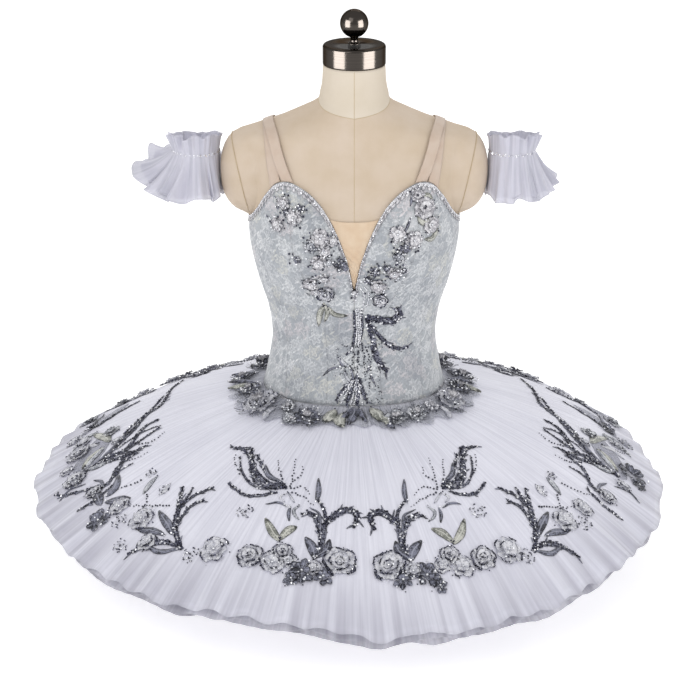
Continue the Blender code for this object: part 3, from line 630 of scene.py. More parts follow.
def panel_grid(number, crowding, columns, rows):
    """Rows from the neckline down to the hem, as angles, heights and shares across."""
    shares = np.linspace(0, 1, columns) ** crowding
    under, over = np.full(columns, 0.05), np.full(columns, 0.30)
    for _ in range(40):
        middle = (under + over) / 2
        below = middle < neckline(panel_angles(number, shares, middle))
        under, over = np.where(below, middle, under), np.where(below, over, middle)
    heights = BODICE_HEM + (under - BODICE_HEM) * np.linspace(1, 0, rows)[:, None]
    return panel_angles(number, shares, heights), heights, shares


def panel(number, crowding, sign):
    """A panel lies off the skin, swells 0.8 mm between its seams and ripples 0.3 mm at most."""
    angle, height, shares = panel_grid(number, crowding, 34, 46)
    span = seam(number + 1, height) - seam(number, height)
    from_seam = np.minimum(shares, 1 - shares) * np.radians(span) * 0.13
    swell = 0.0008 * (1 - np.exp(-((from_seam / 0.0035) ** 2)))
    ripple = np.sin(height * 180 + angle * 0.09 * sign) * np.sin(angle * 0.31 + height * 40)
    waist = np.exp(-((height / 0.05) ** 2))
    lift = CLEARANCE + swell + 0.00025 * (1 + ripple) * (0.35 + waist)
    uv = np.stack([np.radians(angle) * BODICE_RADIUS * sign, height + 0.5], axis=-1)
    faces = grid_faces(*angle.shape, sign=sign)
    return off_skin(angle, height, lift) * (sign, 1, 1), faces, uv.reshape(-1, 2)[faces]


for side, sign in SIDES:
    for number, (name, crowding, width, length) in enumerate(PANELS):
        points, faces, uv = panel(number, crowding, sign)
        piece = new_piece(f"brocade_{name}_{side}", points, faces, brocade, uv, BODICE_WALL)
        place(piece, "brocade", f"bodice_{name}_{side}")
        area = cloth_area(points)
        print(name, "area m2", round(area, 4))

# %% [markdown]
# ## The plunge, the straps and the panty
# Flesh-coloured power mesh fills the plunge between the cups, and flesh-coloured elastic makes
# the straps, so that both seem to vanish on the dancer. The panty under the skirt is a plain
# knit that the nets are sewn on. All three lie on the skin; the mesh pulls into a few slanting
# wrinkles at the point of the V, where it is stretched most.


# %% Mesh, elastic and knit
def knit(name, pale, dark, rib, roughness, sheen, axis="X"):
    """Fine ribs of knitting as bands on Object coordinates, with soft clouds of colour."""
    made, tree = finish(name, Roughness=roughness, Sheen_Weight=sheen)
    where = add(tree, "TexCoord", out="Object")
    # Real ribs are 0.5 mm apart; they are drawn 0.8 to 1.1 mm apart, as the linen's threads are.
    ribs = {0: where, "Scale": 1 / rib / 2, "Distortion": 0.6, "Detail": 1.0}
    band = add(tree, "TexWave", ribs, out="Fac", bands_direction=axis)
    cloud = add(tree, "TexNoise", {0: where, "Scale": 55.0, "Detail": 4.0})
    mixed = add(tree, "Math MULTIPLY_ADD", (band, 0.3, cloud))
    add(tree, "ValToRGB", (mixed,), ramp=((0.40, dark), (0.85, pale)), into="Base Color")
    add(tree, "Bump", {"Height": band, "Strength": 0.3, "Distance": 0.0003}, into="Normal")
    return made


power_mesh = knit("power_mesh_warp_knit", "dbc6ad", "d0b598", 0.0014, 0.70, 0.2)
elastic = knit("covered_elastic_woven", "c8b7a8", "bfa997", 0.0013, 0.62, 0.2)
cotton_knit = knit("cotton_knit_ribbed", "f1f0f4", "e2e1e8", 0.0018, 0.80, 0.1)

# %% The plunge's mesh
PLUNGE_FOOT, PLUNGE_TOP, PLUNGE_RADIUS, MESH_WALL = 0.112, 0.222, 0.11, 0.0008
PULLS = (  # depth, two slants, height, half length
    (0.0008, 7, 520, 0.160, 0.022),
    (0.0005, 9, -600, 0.137, 0.020),
)


def plunge_edge(height):
    """The neckline's angle beside the plunge, at a height."""
    return np.interp(height, NECKLINE[:9, 1], NECKLINE[:9, 0])


heights = np.linspace(PLUNGE_TOP, PLUNGE_FOOT, 56)[:, None]
edge = plunge_edge(heights) - math.degrees(2 * GAP / PLUNGE_RADIUS)
shares = np.linspace(-1, 1, 40)
dip = 0.005 * (1 - shares**2) * (heights - PLUNGE_FOOT) / (PLUNGE_TOP - PLUNGE_FOOT)
wrinkle = sum(
    depth * (1 + np.sin(shares * a + heights * b)) * np.exp(-(((heights - middle) / half) ** 2))
    for depth, a, b, middle, half in PULLS
)
points = off_skin(shares * edge, heights - dip, CLEARANCE + wrinkle)
faces = grid_faces(*points.shape[:2])
insert = new_piece("power_mesh_plunge", points, faces, power_mesh, thickness=MESH_WALL)
place(insert, "nude_mesh", "plunge_insert")

# %% The straps' tables and paths
STRAPS = (  # name, then the distance from the middle at the cup, the shoulder and the back
    ("outer", 0.1165, 0.1300, 0.098),
    ("inner", 0.0975, 0.1290, 0.129),
)
STRAP_WIDTH, STRAP_WALL, STRAP_CLEARANCE, STRAP_LIFT = 0.015, 0.0010, 0.0014, 0.0023
STRAP_PIVOT, STRAP_ROOM, STRAP_ROWS = 0.200, 0.0008, 60


def strap_edge(xs, turns):
    """The skin's points at these distances from the middle, in a sweep over the shoulder."""
    under, over = np.zeros(turns.shape), np.full(turns.shape, 0.25)
    for _ in range(40):
        reach = (under + over) / 2
        within = inside_form(xs, -reach * np.cos(turns), STRAP_PIVOT + reach * np.sin(turns))
        under, over = np.where(within, reach, under), np.where(within, over, reach)
    high = WAIST + STRAP_PIVOT + under * np.sin(turns)
    return np.stack([xs, -under * np.cos(turns), high], axis=-1)


def edge_room(x, turns, behind):
    """How far a strap's end lies above the bodice's top edge, at a distance from the middle."""
    height = strap_edge(np.full_like(turns, x), turns)[:, 2] - WAIST
    angle = angle_of(x, height)
    return height - neckline(180 - angle if behind else angle)


ACROSS = np.linspace(-STRAP_WIDTH / 2, STRAP_WIDTH / 2, 9)


def strap_turns(name, at_cup, at_shoulder, at_back):
    """The sweep's angles, each column from its own place on the top edge, as the cut is slanted.

    The outer strap runs over the shoulder, and the inner one ends on it at its top."""
    trial = np.linspace(0.0, math.pi, 1441)
    top = trial[np.argmax(strap_edge(np.full_like(trial, at_shoulder), trial)[:, 2])]
    rising, falling = trial[trial < top], trial[trial > top]
    room = [edge_room(at_cup + d, rising, False) > STRAP_ROOM for d in ACROSS]
    first = np.array([rising[clear][0] for clear in room])
    rise = np.linspace(first, np.full(9, top), STRAP_ROWS)
    if name == "inner":
        return rise
    room = [edge_room(at_back + d, falling, True) > STRAP_ROOM for d in ACROSS]
    last = np.array([falling[clear][-1] for clear in room])
    return np.concatenate([rise, np.linspace(np.full(9, top), last, STRAP_ROWS)[1:]])


def strap_points(name, at_cup, at_shoulder, at_back):
    """Rows across the strap, lifted off the skin; the inner one rises onto the outer one."""
    turns = strap_turns(name, at_cup, at_shoulder, at_back)
    ends = turns[0].min(), max(turns[-1].max(), math.radians(92))
    marks = np.array((ends[0], math.radians(91), ends[1]))
    path = smooth(turns, marks, np.array((at_cup, at_shoulder, at_back)))
    rows = strap_edge(path + ACROSS, turns)
    normal = unit(np.cross(np.gradient(rows, axis=1), np.gradient(rows, axis=0)))
    rise = np.clip(np.linspace(0, 6, len(turns)), 0, 1)[:, None] if name == "inner" else 0.0
    crown = 0.00035 * (1 - (ACROSS / ACROSS[-1]) ** 2)
    lift = STRAP_CLEARANCE + STRAP_LIFT * rise + crown + np.zeros(rows.shape[:2])
    return rows + normal * lift[..., None]


# %% The straps
for side, sign in SIDES:
    for strap in STRAPS:
        points = strap_points(*strap)[:, ::-1] * (sign, 1, 1)
        faces = grid_faces(*points.shape[:2], sign=sign)
        name = f"{strap[0]}_{side}"
        piece = new_piece(f"elastic_{name}", points, faces, elastic, thickness=STRAP_WALL)
        place(piece, "nude_elastic", f"strap_{name}")

# %% The panty
PANTY_FOOT, PANTY_WALL = -0.205, 0.0010
heights = np.linspace(BODICE_HEM - GAP, PANTY_FOOT, 14)[:, None]
points = off_skin(circle(96), heights, CLEARANCE)
faces = grid_faces(14, 96, True)
panty = new_piece("panty_yoke_knit", points, faces, cotton_knit, thickness=PANTY_WALL)
place(panty, "panty_cloth", "panty")

# %% [markdown]
# ## Tulle and the skirt's nets
# The skirt is five rings of stiff tulle, gathered to the panty and tacked to one another, the
# widest on top. Tulle is sheer, so two layers read as white and the raw rim reads grey; that grey,
# and the under nets' darker colour, are painted shade. Its gathers fan out from the hips as fine
# radial ridges: they are modelled as shallow waves, and the finest are streaks of painted light and
# shade in the colour. Streaks need coordinates that go round without a seam, so the material takes
# the direction from the axis, as a unit vector, times a large number.


# %% Tulle
def tulle(name, bright, shade, rim, sheer, rim_start, centre=(0.0, 0.0, 0.0), streaks=150.0):
    """Streaks by direction from the centre, clouds, and past a radius in metres a greyer rim.

    The streaks between bright and shade are painted light and shade of the fine gathers, and the
    greyer rim is painted shade, of its folds and of the shaded nets seen through it. sheer is how
    solid the cloth is at the middle and at the rim, where fewer layers lie."""
    made, tree = finish(name, Roughness=0.75, Sheen_Weight=0.3, Sheen_Roughness=0.5)
    where = add(tree, "TexCoord", out="Object")
    here = add(tree, "VectorMath SUBTRACT", (where, centre))
    flat = add(tree, "VectorMath MULTIPLY", (here, (1, 1, 0)))
    reach = add(tree, "VectorMath LENGTH", (flat,), out="Value")
    heading = add(tree, "VectorMath NORMALIZE", (flat,))
    heading = add(tree, "VectorMath SCALE", {0: heading, "Scale": streaks})
    drift = add(tree, "VectorMath MULTIPLY", (here, (9, 9, 9)))
    spot = add(tree, "VectorMath ADD", (heading, drift))
    fine = add(tree, "TexNoise", {0: spot, "Scale": 0.55, "Detail": 3.0})
    cloud = add(tree, "TexNoise", {0: here, "Scale": 9.0, "Detail": 3.0})
    mixed = add(tree, "Math ADD", (fine, cloud))
    halved = add(tree, "Math MULTIPLY", (mixed, 0.5))
    # Painted light and shade: streaks between the bright and shade colours stand for the fine
    # gathers' lit and shaded ridges.
    body = add(tree, "ValToRGB", (halved,), ramp=((0.40, shade), (0.57, bright)))
    far = add(tree, "MapRange", (reach, rim_start, rim_start + 0.09))
    solid = add(tree, "MapRange", {0: far, 3: sheer[0], 4: sheer[1]})
    streaky = add(tree, "MapRange", (fine, 0.3, 0.7, -0.06, 0.06))
    add(tree, "Math ADD", (solid, streaky), into="Alpha", use_clamp=True)
    broad = add(tree, "TexNoise", {0: spot, "Scale": 0.17, "Detail": 4.0})
    broad = add(tree, "MapRange", (broad, 0.40, 0.60))
    # Painted shade: the rim colour, laid in uneven bands, stands for the rim's folds and the shaded
    # nets seen through it.
    rim_shade_bands = add(tree, "Math MULTIPLY", (far, broad))
    edge = {0: rim_shade_bands, 6: body, 7: linear(rim)}
    add(tree, "Mix", edge, out=2, into="Base Color", data_type="RGBA")
    # Tulle's holes are 0.8 mm across; drawn at 2.2 mm, as small as the picture can hold.
    holes = {0: where, "Scale": 450.0}
    holes = add(tree, "TexVoronoi", holes, out="Distance", feature="DISTANCE_TO_EDGE")
    height = add(tree, "Math MULTIPLY_ADD", (fine, 3.0, holes))
    add(tree, "Bump", {"Height": height, "Strength": 0.11, "Distance": 0.0008}, into="Normal")
    return made


top_tulle = tulle("nylon_tulle_top", "e2e2ed", "dadae6", "c3c2cf", (0.95, 0.76), 0.405)
# The under nets are the same tulle as the top net, set darker and darkest at the rim: painted shade
# of the top net's shadow on them.
under_tulle_shaded = tulle("nylon_tulle_under_shaded", "dfdee8", "d0cfdd", "afaebb", (0.90, 0.66), 0.39)

# %% The nets' tables
NETS = (  # name, height sewn on, rim radius, rim height, waves, wave height, columns, rows
    ("net_top", -0.0880, 0.501, -0.246, 60, 0.0040, 1120, 32),
    ("net_second", -0.0980, 0.492, -0.259, 36, 0.0042, 720, 16),
    ("net_third", -0.1090, 0.480, -0.272, 24, 0.0040, 480, 14),
    ("net_fourth", -0.1210, 0.400, -0.246, 12, 0.0035, 240, 10),
    ("net_fifth", -0.1350, 0.310, -0.212, 12, 0.0030, 240, 8),
)
NET_WALL, NET_LIFT = 0.0006, 0.0018  # the lift clears the panty's wall where a net is sewn on
RIM_SHIFT, STRAIGHT, BEND = -0.007, 0.62, 2.3
RIM_SHAPE = np.array([  # angle, further out, further up
    (-180, 0.000, 0.002), (-135, -0.010, -0.004), (-90, 0.004, 0.000), (-45, 0.000, 0.001),
    (-16, 0.000, 0.005), (0, 0.000, -0.005), (14, 0.000, -0.018), (28, 0.000, -0.013),
    (60, 0.002, -0.009), (90, 0.002, -0.004), (135, -0.004, 0.002), (180, 0.000, 0.002),
])
FOLDS = np.array([  # angle in degrees, depth at the rim, half width in degrees
    (-62, 0.006, 5), (-30, -0.006, 3.5), (-18, 0.005, 4), (5, -0.009, 3), (11, 0.007, 3),
    (34, -0.006, 4), (55, 0.006, 5), (96, -0.005, 5), (138, 0.006, 5), (171, -0.006, 4),
    (-150, -0.005, 5), (-112, 0.005, 5),
])
RUFFLE = np.array([(0, 0), (0.45, 0), (0.75, 0.14), (1, 1)])  # share of the way, wave height


# %% The nets' formula
def wave(turn, count):
    """Uneven ruffle waves: a sine whose place and height sway, for angles in radians."""
    sway = 1.2 * np.sin(3 * turn + count) + 0.7 * np.sin(7 * turn + 2 * count)
    return np.sin(count * turn + sway) * (0.78 + 0.22 * np.sin(5 * turn + 3 * count))


def fold(angle):
    """The large folds: bell-shaped ridges and troughs at the table's angles."""
    away = wrapped(angle[..., None] - FOLDS[:, 0])
    return (FOLDS[:, 1] * np.exp(-((away / FOLDS[:, 2]) ** 2))).sum(axis=-1)


def net_point(net, angle, share):
    """A net's underside: from its sewn edge, 0, a slope that bends down to its rim, 1."""
    _, sewn, radius, rim, waves, wave_height, *_ = net
    angle, share = np.broadcast_arrays(np.asarray(angle, float), np.asarray(share, float))
    turn = np.radians(angle)
    inner = off_skin(angle, sewn, CLEARANCE + NET_LIFT)
    ruffle = look_up(RUFFLE, share)
    swing = wave(turn, waves) * ruffle
    further, higher = (look_up(RIM_SHAPE, wrapped(angle), column) for column in (1, 2))
    outer = radius * (1 + 0.008 * wave(turn + 1.0, waves // 3) * ruffle) + further
    x = inner[..., 0] * (1 - share) + (outer * np.sin(turn) + RIM_SHIFT) * share
    y = inner[..., 1] * (1 - share) - outer * np.cos(turn) * share
    fall = STRAIGHT * share + (1 - STRAIGHT) * share**BEND
    z = WAIST + sewn - (sewn - rim - higher) * fall + wave_height * swing
    z = z + fold(angle) * share**2 + gathers(turn, share)
    return np.stack([x, y, z], axis=-1)


def gathers(turn, share):
    """Fine gathers: two uneven waves that never quite agree, deepest by the hips and rim."""
    near = 0.00025 * wave(turn + 0.02 * np.sin(9 * share), 174) * np.clip(share * 8, 0, 1)
    far = 0.0005 * wave(turn + 0.4, 131) * share
    long = 0.0006 * wave(turn + 2.0, 23) * np.sin(np.pi * np.clip(share, 0, 1)) ** 0.7
    return near * (1.15 - 0.5 * share) + far + long


# %% The five nets
for net in NETS:
    columns, rows = net[-2:]
    points = net_point(net, circle(columns), np.linspace(0, 1, rows)[:, None] ** 0.9)
    material = top_tulle if net[0] == "net_top" else under_tulle_shaded
    name = net[0].replace("net", "tulle")
    piece = new_piece(name, points, grid_faces(rows, columns, True), material, None, NET_WALL)
    place(piece, "net", net[0])
    area = cloth_area(points, True)
    rim_length, width = float(steps(points[-1]).sum()), float(steps(points[:, 0]).sum())
    print(name, "rim m", round(rim_length, 3), "width", round(width, 3), "area", round(area, 3))

# %% [markdown]
# ## The armlets
# Each armlet is a sequinned elastic band with a doubled strip of tulle gathered under it, whose
# short heading stands up above the band. It lies against the shoulder stump, which flattens it
# on that side. The ruffle leans out by an angle that changes round the band, and swells in
# uneven waves; the second ply hangs a little inside the first.

# %% The armlets' tables
ARMLET_RADIUS, BAND_HEIGHT, BAND_WALL, BAND_THICKNESS = 0.0330, 0.009, 0.0016, 0.0013
ARMLET_HEIGHT, ARMLET_LENGTH, HEADING, DRAPE = 0.297, 0.070, 0.024, 0.0020
ARMLET_WAVES, PLY_WALL = 9, 0.0005
FLARE = np.array([  # angle round the band, then each armlet's lean out from straight down
    (-180, 74, 48), (-135, 38, 26), (-90, 2, 2), (-45, 9, 7), (0, 22, 9), (45, 35, 17),
    (90, 49, 27), (125, 72, 38), (150, 82, 50), (180, 74, 48),
], float)


def stump_side(height):
    """How far the stump stands from the middle at a height: its superellipse's width there."""
    share = np.clip((height - STUMP_CENTRE[2]) / STUMP_RADII[2], -1, 1)
    width = (1 - np.abs(share) ** STUMP_POWER) ** (1 / STUMP_POWER)
    return STUMP_CENTRE[0] + STUMP_RADII[0] * width


ARMLET_CENTRE = stump_side(ARMLET_HEIGHT - BAND_HEIGHT / 2) + DRAPE
ARMLET_CENTRE = float(ARMLET_CENTRE + ARMLET_RADIUS + BAND_WALL + 5 * GAP)


def armlet_point(angle, out, down):
    """A point out from the +X armlet's axis and down from its band, held off the stump."""
    turn = np.radians(angle)
    height = ARMLET_HEIGHT - down
    x = np.maximum(ARMLET_CENTRE + out * np.sin(turn), stump_side(height) + DRAPE)
    y = STUMP_CENTRE[1] - out * np.cos(turn)
    return np.stack(np.broadcast_arrays(x, y, WAIST + height), axis=-1)


def armlet_ply(column, angles, inward):
    """Rows from the heading's edge, in to the band, and out along the ruffle to its rim."""
    flare = look_up(FLARE, wrapped(angles), column)
    turn = np.radians(angles)
    free = np.clip((flare - 2) / 20, 0, 1)
    inside = ARMLET_RADIUS + BAND_WALL + GAP - inward * 0.0012
    rise = np.linspace(1, 0, 9)[:-1, None]
    pleats = 0.0013 * wave(turn + column, 23) + 0.0005 * wave(turn, 41)
    pleats = pleats * (1 + 0.55 * wave(turn + 2 * column, 5))
    sway = 8.0 * wave(turn + 1.3 * column, 4) * free
    heading = HEADING * 0.28 * rise * free * (1 + 0.9 * wave(turn, ARMLET_WAVES + 1))
    heading = heading + pleats * rise * (0.4 + 0.6 * free)
    tall = (HEADING + 0.007 * np.cos(turn)) * (1 - 0.05 * inward + 0.12 * wave(turn + 2.0, 7))
    above = armlet_point(angles - 0.5 * sway * rise, inside + heading, -tall * rise)
    share = np.linspace(0, 1, 18)[:, None] * (1 - 0.10 * inward)
    share = share * (1 + 0.07 * wave(turn + column, 5) * share)
    tilt = np.radians(flare * (0.72 + 0.28 * share)) * (1 - 0.12 * inward)
    swell = 0.013 * share * wave(turn + 0.4 * column + inward, ARMLET_WAVES + column) * free
    swell = swell + pleats * share * (0.5 + 1.3 * share) * (0.3 + 0.7 * free)
    out = ARMLET_LENGTH * share * np.sin(tilt) + swell * np.cos(tilt)
    down = ARMLET_LENGTH * share * np.cos(tilt) - swell * np.sin(tilt)
    below = armlet_point(angles + sway * share, inside + out, down)
    return np.vstack([above, below])


# %% The armlets' ruffles and bands
elastic_white = knit("covered_elastic_white", "eeeef6", "d6d6e2", 0.0013, 0.55, 0.3, "Z")
rows = np.linspace(-1, 1, 9)[:, None]
crown = 0.0003 * (1 - rows**2)
for column, (side, sign) in enumerate(SIDES, 1):
    plies = [armlet_ply(column, circle(256), inward) * (sign, 1, 1) for inward in (0, 1)]
    faces = grid_faces(*plies[0].shape[:2], True, sign)
    centre = (sign * ARMLET_CENTRE, STUMP_CENTRE[1], 0.0)
    looks = ("d8d7e3", "bfbfcd", "c2c2cf", (0.72, 0.6), 0.06, centre, 14.0)
    material = tulle(f"nylon_tulle_armlet_{side}", *looks)
    cloth = joined([(ply.reshape(-1, 3), faces) for ply in plies])
    ruffle = new_piece(f"tulle_armlet_{side}", *cloth, material, None, PLY_WALL)
    place(ruffle, "net", f"armlet_ruffle_{side}")
    area = sum(cloth_area(ply, True) for ply in plies)
    around = float(steps(plies[0][-1]).sum())
    band = armlet_point(circle(96), ARMLET_RADIUS + crown, rows * BAND_HEIGHT / 2) * (sign, 1, 1)
    faces = grid_faces(9, 96, True, sign)
    name = f"elastic_armlet_{side}"
    band = new_piece(name, band, faces, elastic_white, thickness=BAND_THICKNESS)
    place(band, "elastic", f"armlet_band_{side}")
    print(side, "armlet: rim m", round(around, 3), "area m2", round(area, 4))

# %% [markdown]
# ## Sewing the trimming on
# All the trimming is made flat, in a small plan with a to the right and b away from the middle,
# and then laid on the cloth. Two functions do the laying: one for the top net, by angle and
# distance from the axis, and one for the bodice, by distance from the middle and height. Each
# gives points lifted off the cloth along its normal, so the trimming follows every gather. A
# sign of -1 mirrors a plan to the left side.


# %% Places on the cloth
def sewn_reach(angle):
    """How far the top net's sewn edge is from the axis."""
    edge = off_skin(angle, NETS[0][1], CLEARANCE + NET_LIFT)
    return np.hypot(edge[..., 0], edge[..., 1])


def skirt_surface(angle, reach):
    """The top net's underside by angle and distance; nearer than its sewn edge it runs level."""
    inner = sewn_reach(angle)
    share = (reach - inner) / (NETS[0][2] - inner)
    within = np.clip(share, 0.0, 1.0)
    beyond = (share - within) * (NETS[0][2] - inner)
    turn = np.radians(angle)
    level = np.stack([np.sin(turn), -np.cos(turn), 0 * turn], axis=-1)
    return net_point(NETS[0], angle, within) + level * beyond[..., None]


# The net is worked out once, on a close grid, and read from there by mixing four neighbours.
TURN_STEP, REACH_STEP = 0.25, 0.002
GRID_ANGLES, GRID_REACH = np.linspace(0, 360, 1441), np.linspace(0.105, 0.505, 201)
chart = skirt_surface(*np.broadcast_arrays(GRID_ANGLES, GRID_REACH[:, None]))
up = unit(np.cross(np.gradient(chart, axis=0), np.gradient(chart, axis=1)))
CHART = np.concatenate([chart, up], axis=-1)
SKIRT_LIFT, BODICE_LIFT, EDGE_LIFT = 0.0010, 0.0011, 0.0010  # trimming's height off each cloth


def on_skirt(angle, reach, lift):
    """The skirt's place, moved along its normal, which is its two slopes' cross product."""
    row = np.clip((reach - GRID_REACH[0]) / REACH_STEP, 0, len(GRID_REACH) - 1.01)
    column = (angle % 360) / TURN_STEP
    i, j = row.astype(int), np.minimum(column.astype(int), len(GRID_ANGLES) - 2)
    u, v = (row - i)[..., None], (column - j)[..., None]
    near = CHART[i, j] * (1 - v) + CHART[i, j + 1] * v
    far = CHART[i + 1, j] * (1 - v) + CHART[i + 1, j + 1] * v
    mixed = near * (1 - u) + far * u
    return mixed[..., :3] + mixed[..., 3:] * (lift + SKIRT_LIFT)[..., None]


def skirt_plan(sign, angle, reach):
    """A plan whose middle is at an angle in degrees and a distance in metres on the skirt."""

    def lay(a, b, lift):
        return on_skirt(sign * (angle + np.degrees(a / reach)), reach + b, lift)

    return lay, sign


def bodice_plan(x, height):
    """A plan on the bodice, at a distance from the middle and a height, kept off the plunge."""

    def lay(a, b, lift):
        y, angle = height - b, math.copysign(1, x) * angle_of(x + a, height - b)
        angle = np.where(y > PLUNGE_FOOT, np.maximum(angle, plunge_edge(y)), angle)
        angle = math.copysign(1, x) * angle
        return off_skin(angle, y, CLEARANCE + BODICE_WALL + BODICE_LIFT + lift)

    return lay, 1


def skirt_path(sign, spots):
    """A plan at a path's first spot, and the path in it, from (angle, distance) spots."""
    spots = np.array(spots, float)
    start = spots[0]
    path = (spots - start) * (math.radians(1) * start[1], 1)
    return skirt_plan(sign, *start), path


def bodice_path(spots):
    """The same for (distance from the middle, height) spots on the bodice."""
    spots = np.array(spots, float)
    return bodice_plan(*spots[0]), (spots - spots[0]) * (1, -1)


# %% [markdown]
# ## Petals, leaves, sequins and stones
# A petal is a small sheet: its width follows a sine from root to tip, it rises, cups, and its
# edge ruffles. A leaf is the same along a curved path, with its midrib standing up. A cup sequin
# is a six-sided foil with a sunk middle, sewn on a little crooked, and a stone is a cut gem with
# a flat table. They are repeated hundreds of times, so each has only a few faces.

# %% Petals and leaves
draws = np.random.default_rng(20)


def petals(count, length, width, root, rise, droop, ruffle, spin, lift=0.0, rows=5, columns=5):
    """A ring of petals in plan, starting at root from its middle. spin is in radians."""
    s = np.linspace(0, 1, rows)[None, :, None]
    c = np.linspace(-1, 1, columns)[None, None, :]
    k = np.arange(count)[:, None, None]
    turn = spin + 2 * np.pi * k / count + 0.12 * np.sin(3.1 * k + spin)
    grow = 1 + 0.09 * np.sin(5.3 * k + 2 * spin)
    half = width / 2 * np.sin(np.pi * (0.08 + 0.80 * s)) ** 0.7 * grow
    along = root + length * s * grow * (1 - 0.16 * c**2 * s)
    across = half * c
    high = lift + rise * s**1.2 - droop * s**3 + 0.35 * rise * c**2 * s
    high = high + ruffle * s**2 * np.sin(2.6 * c + 1.9 * k + 4 * s)
    a = along * np.sin(turn) + across * np.cos(turn)
    b = along * np.cos(turn) - across * np.sin(turn)
    return a, b, high


def course(path, count):
    """Places and unit slopes, evenly shared, on a smooth path in plan."""
    path = np.asarray(path, float)
    knots = np.linspace(0, 1, len(path))
    s = np.linspace(0, 1, count)
    line = np.stack([smooth(s, knots, path[:, k]) for k in (0, 1)], axis=1)
    return line, unit(np.gradient(line, axis=0))


def blade(path, width, fold, lift=0.0004, columns=5, rows=11, power=0.8):
    """A leaf or strand along a path: its edges lie on the cloth and its rib stands up."""
    line, slope = course(path, rows)
    s, c = np.linspace(0, 1, rows), np.linspace(-1, 1, columns)
    offset = (width / 2 * np.sin(np.pi * (0.03 + 0.94 * s)) ** power)[:, None] * c
    a = line[:, :1] + offset * slope[:, 1:]
    b = line[:, 1:] - offset * slope[:, :1]
    high = lift + fold * (1 - np.abs(c)) * np.sin(np.pi * (0.05 + 0.9 * s))[:, None] ** 0.5
    return a[None], b[None], high[None]


def laid(at, shape):
    """A plan's equal grids laid on the cloth, as points, faces, and each face's own UVs."""
    lay, sign = at
    a, b, lift = np.broadcast_arrays(*shape)
    count, rows, columns = a.shape
    points = lay(a, b, np.maximum(lift, 0.0)).reshape(-1, 3)
    faces = grid_faces(rows, columns, sign=sign)
    uv = np.meshgrid(np.linspace(0, 1, columns), np.linspace(0, 1, rows))
    uv = np.stack(uv, axis=-1).reshape(-1, 2)[faces]
    every = (faces[None] + np.arange(count)[:, None, None] * rows * columns).reshape(-1, 4)
    return points, every, np.tile(uv, (count, 1, 1)).reshape(-1, 2)


# %% Sequins, beads and stones
SEQUIN = ((1.0, 0.16), (0.0, -0.10))  # rings of (share of the radius, height), then the peak
STONE = ((1.0, 0.0), (0.95, 0.30), (0.55, 0.62), (0.0, 0.66))
BEAD = ((0.75, 0.0), (1.0, 0.55), (0.70, 1.05), (0.0, 1.25))


def dotted(path, spacing, wander, rows=(0.0,)):
    """Evenly spaced spots on a path in plan and beside it, each moved aside a little."""
    line, slope = course(path, 160)
    length = travelled(line)
    spots = []
    for number, aside in enumerate(rows):
        wanted = np.arange(0.5 * (number % 2) * spacing, length[-1], spacing)
        where = [np.interp(wanted, length, column) for column in (*line.T, *slope.T)]
        taper = np.sin(np.pi * (0.10 + 0.85 * wanted / length[-1])) ** 0.6 * aside
        spots.append(np.stack([where[0] + taper * where[3], where[1] - taper * where[2]], axis=1))
    spots = np.concatenate(spots)
    return spots + draws.normal(0, 1, spots.shape) * wander


def round_things(at, spots, radius, profile, sides, lean, lift):
    """The profile's rings about each spot, leaned over at random."""
    lay, _ = at
    spots = np.asarray(spots, float).reshape(-1, 2)
    heights = np.full(len(spots), lift)
    places = lay(*spots.T, heights)
    normal = lay(*spots.T, heights + 0.002) - places
    normal = unit(normal / 0.002 + draws.normal(0, lean, normal.shape))
    aside = unit(np.cross(normal, (0.31, 0.87, 0.38)))
    other = np.cross(normal, aside)
    turn = draws.uniform(0, 2 * np.pi, (len(spots), 1)) + np.arange(sides) * 2 * np.pi / sides
    ring = np.cos(turn)[..., None] * aside[:, None] + np.sin(turn)[..., None] * other[:, None]
    size = np.asarray(radius) * draws.uniform(0.88, 1.12, len(spots))[:, None, None]
    layers = [places[:, None] + size * (s * ring + h * normal[:, None]) for s, h in profile]
    layers[-1] = layers[-1][:, :1]
    points = np.concatenate(layers, axis=1)
    total, near = points.shape[1], np.arange(sides)
    last = total - 1 - sides
    tip = np.stack([last + near, last + (near + 1) % sides, np.full(sides, total - 1)], axis=1)
    rings = grid_faces(len(profile) - 1, sides, True, -1)
    step = np.arange(len(spots))[:, None, None] * total
    blocks = [(block[None] + step).reshape(-1, block.shape[1]) for block in (tip, rings)]
    return points.reshape(-1, 3), [block for block in blocks if len(block)]


class Pile:
    """Trimming of one finish, gathered here until it is made into one piece."""

    def __init__(self, name, material):
        self.name, self.material, self.parts, self.uvs = name, material, [], []

    def sew(self, at, shape):
        """Adds a small sheet, laid on the cloth by a plan."""
        points, faces, uv = laid(at, shape)
        self.parts.append((points, faces))
        self.uvs.append(uv)

    def scatter(self, at, spots, radius, profile=SEQUIN, sides=6, lean=0.16, lift=0.0003):
        """Adds a sequin, bead or stone at each spot of a plan."""
        if len(spots):
            self.parts.append(round_things(at, spots, radius, profile, sides, lean, lift))

    def make(self, thickness=0.0):
        """Joins all that was gathered into one piece and puts it in its place."""
        uv = np.concatenate(self.uvs) if self.uvs else None
        piece = new_piece(self.name, *joined(self.parts), self.material, uv, thickness)
        return place(piece, "lace")


# %% [markdown]
# ## What the trimming is made of
# The motifs are cut from corded lace: organza stitched over with thread, with a darker cord
# round every petal. A petal's own UV map tells how near its edge is, so one material draws the
# cord, the pale midrib and the stitches that run from root to tip. Sequins are metallised foil,
# charcoal and silver, and the stones are cut glass with a foil back, which is why they flash.


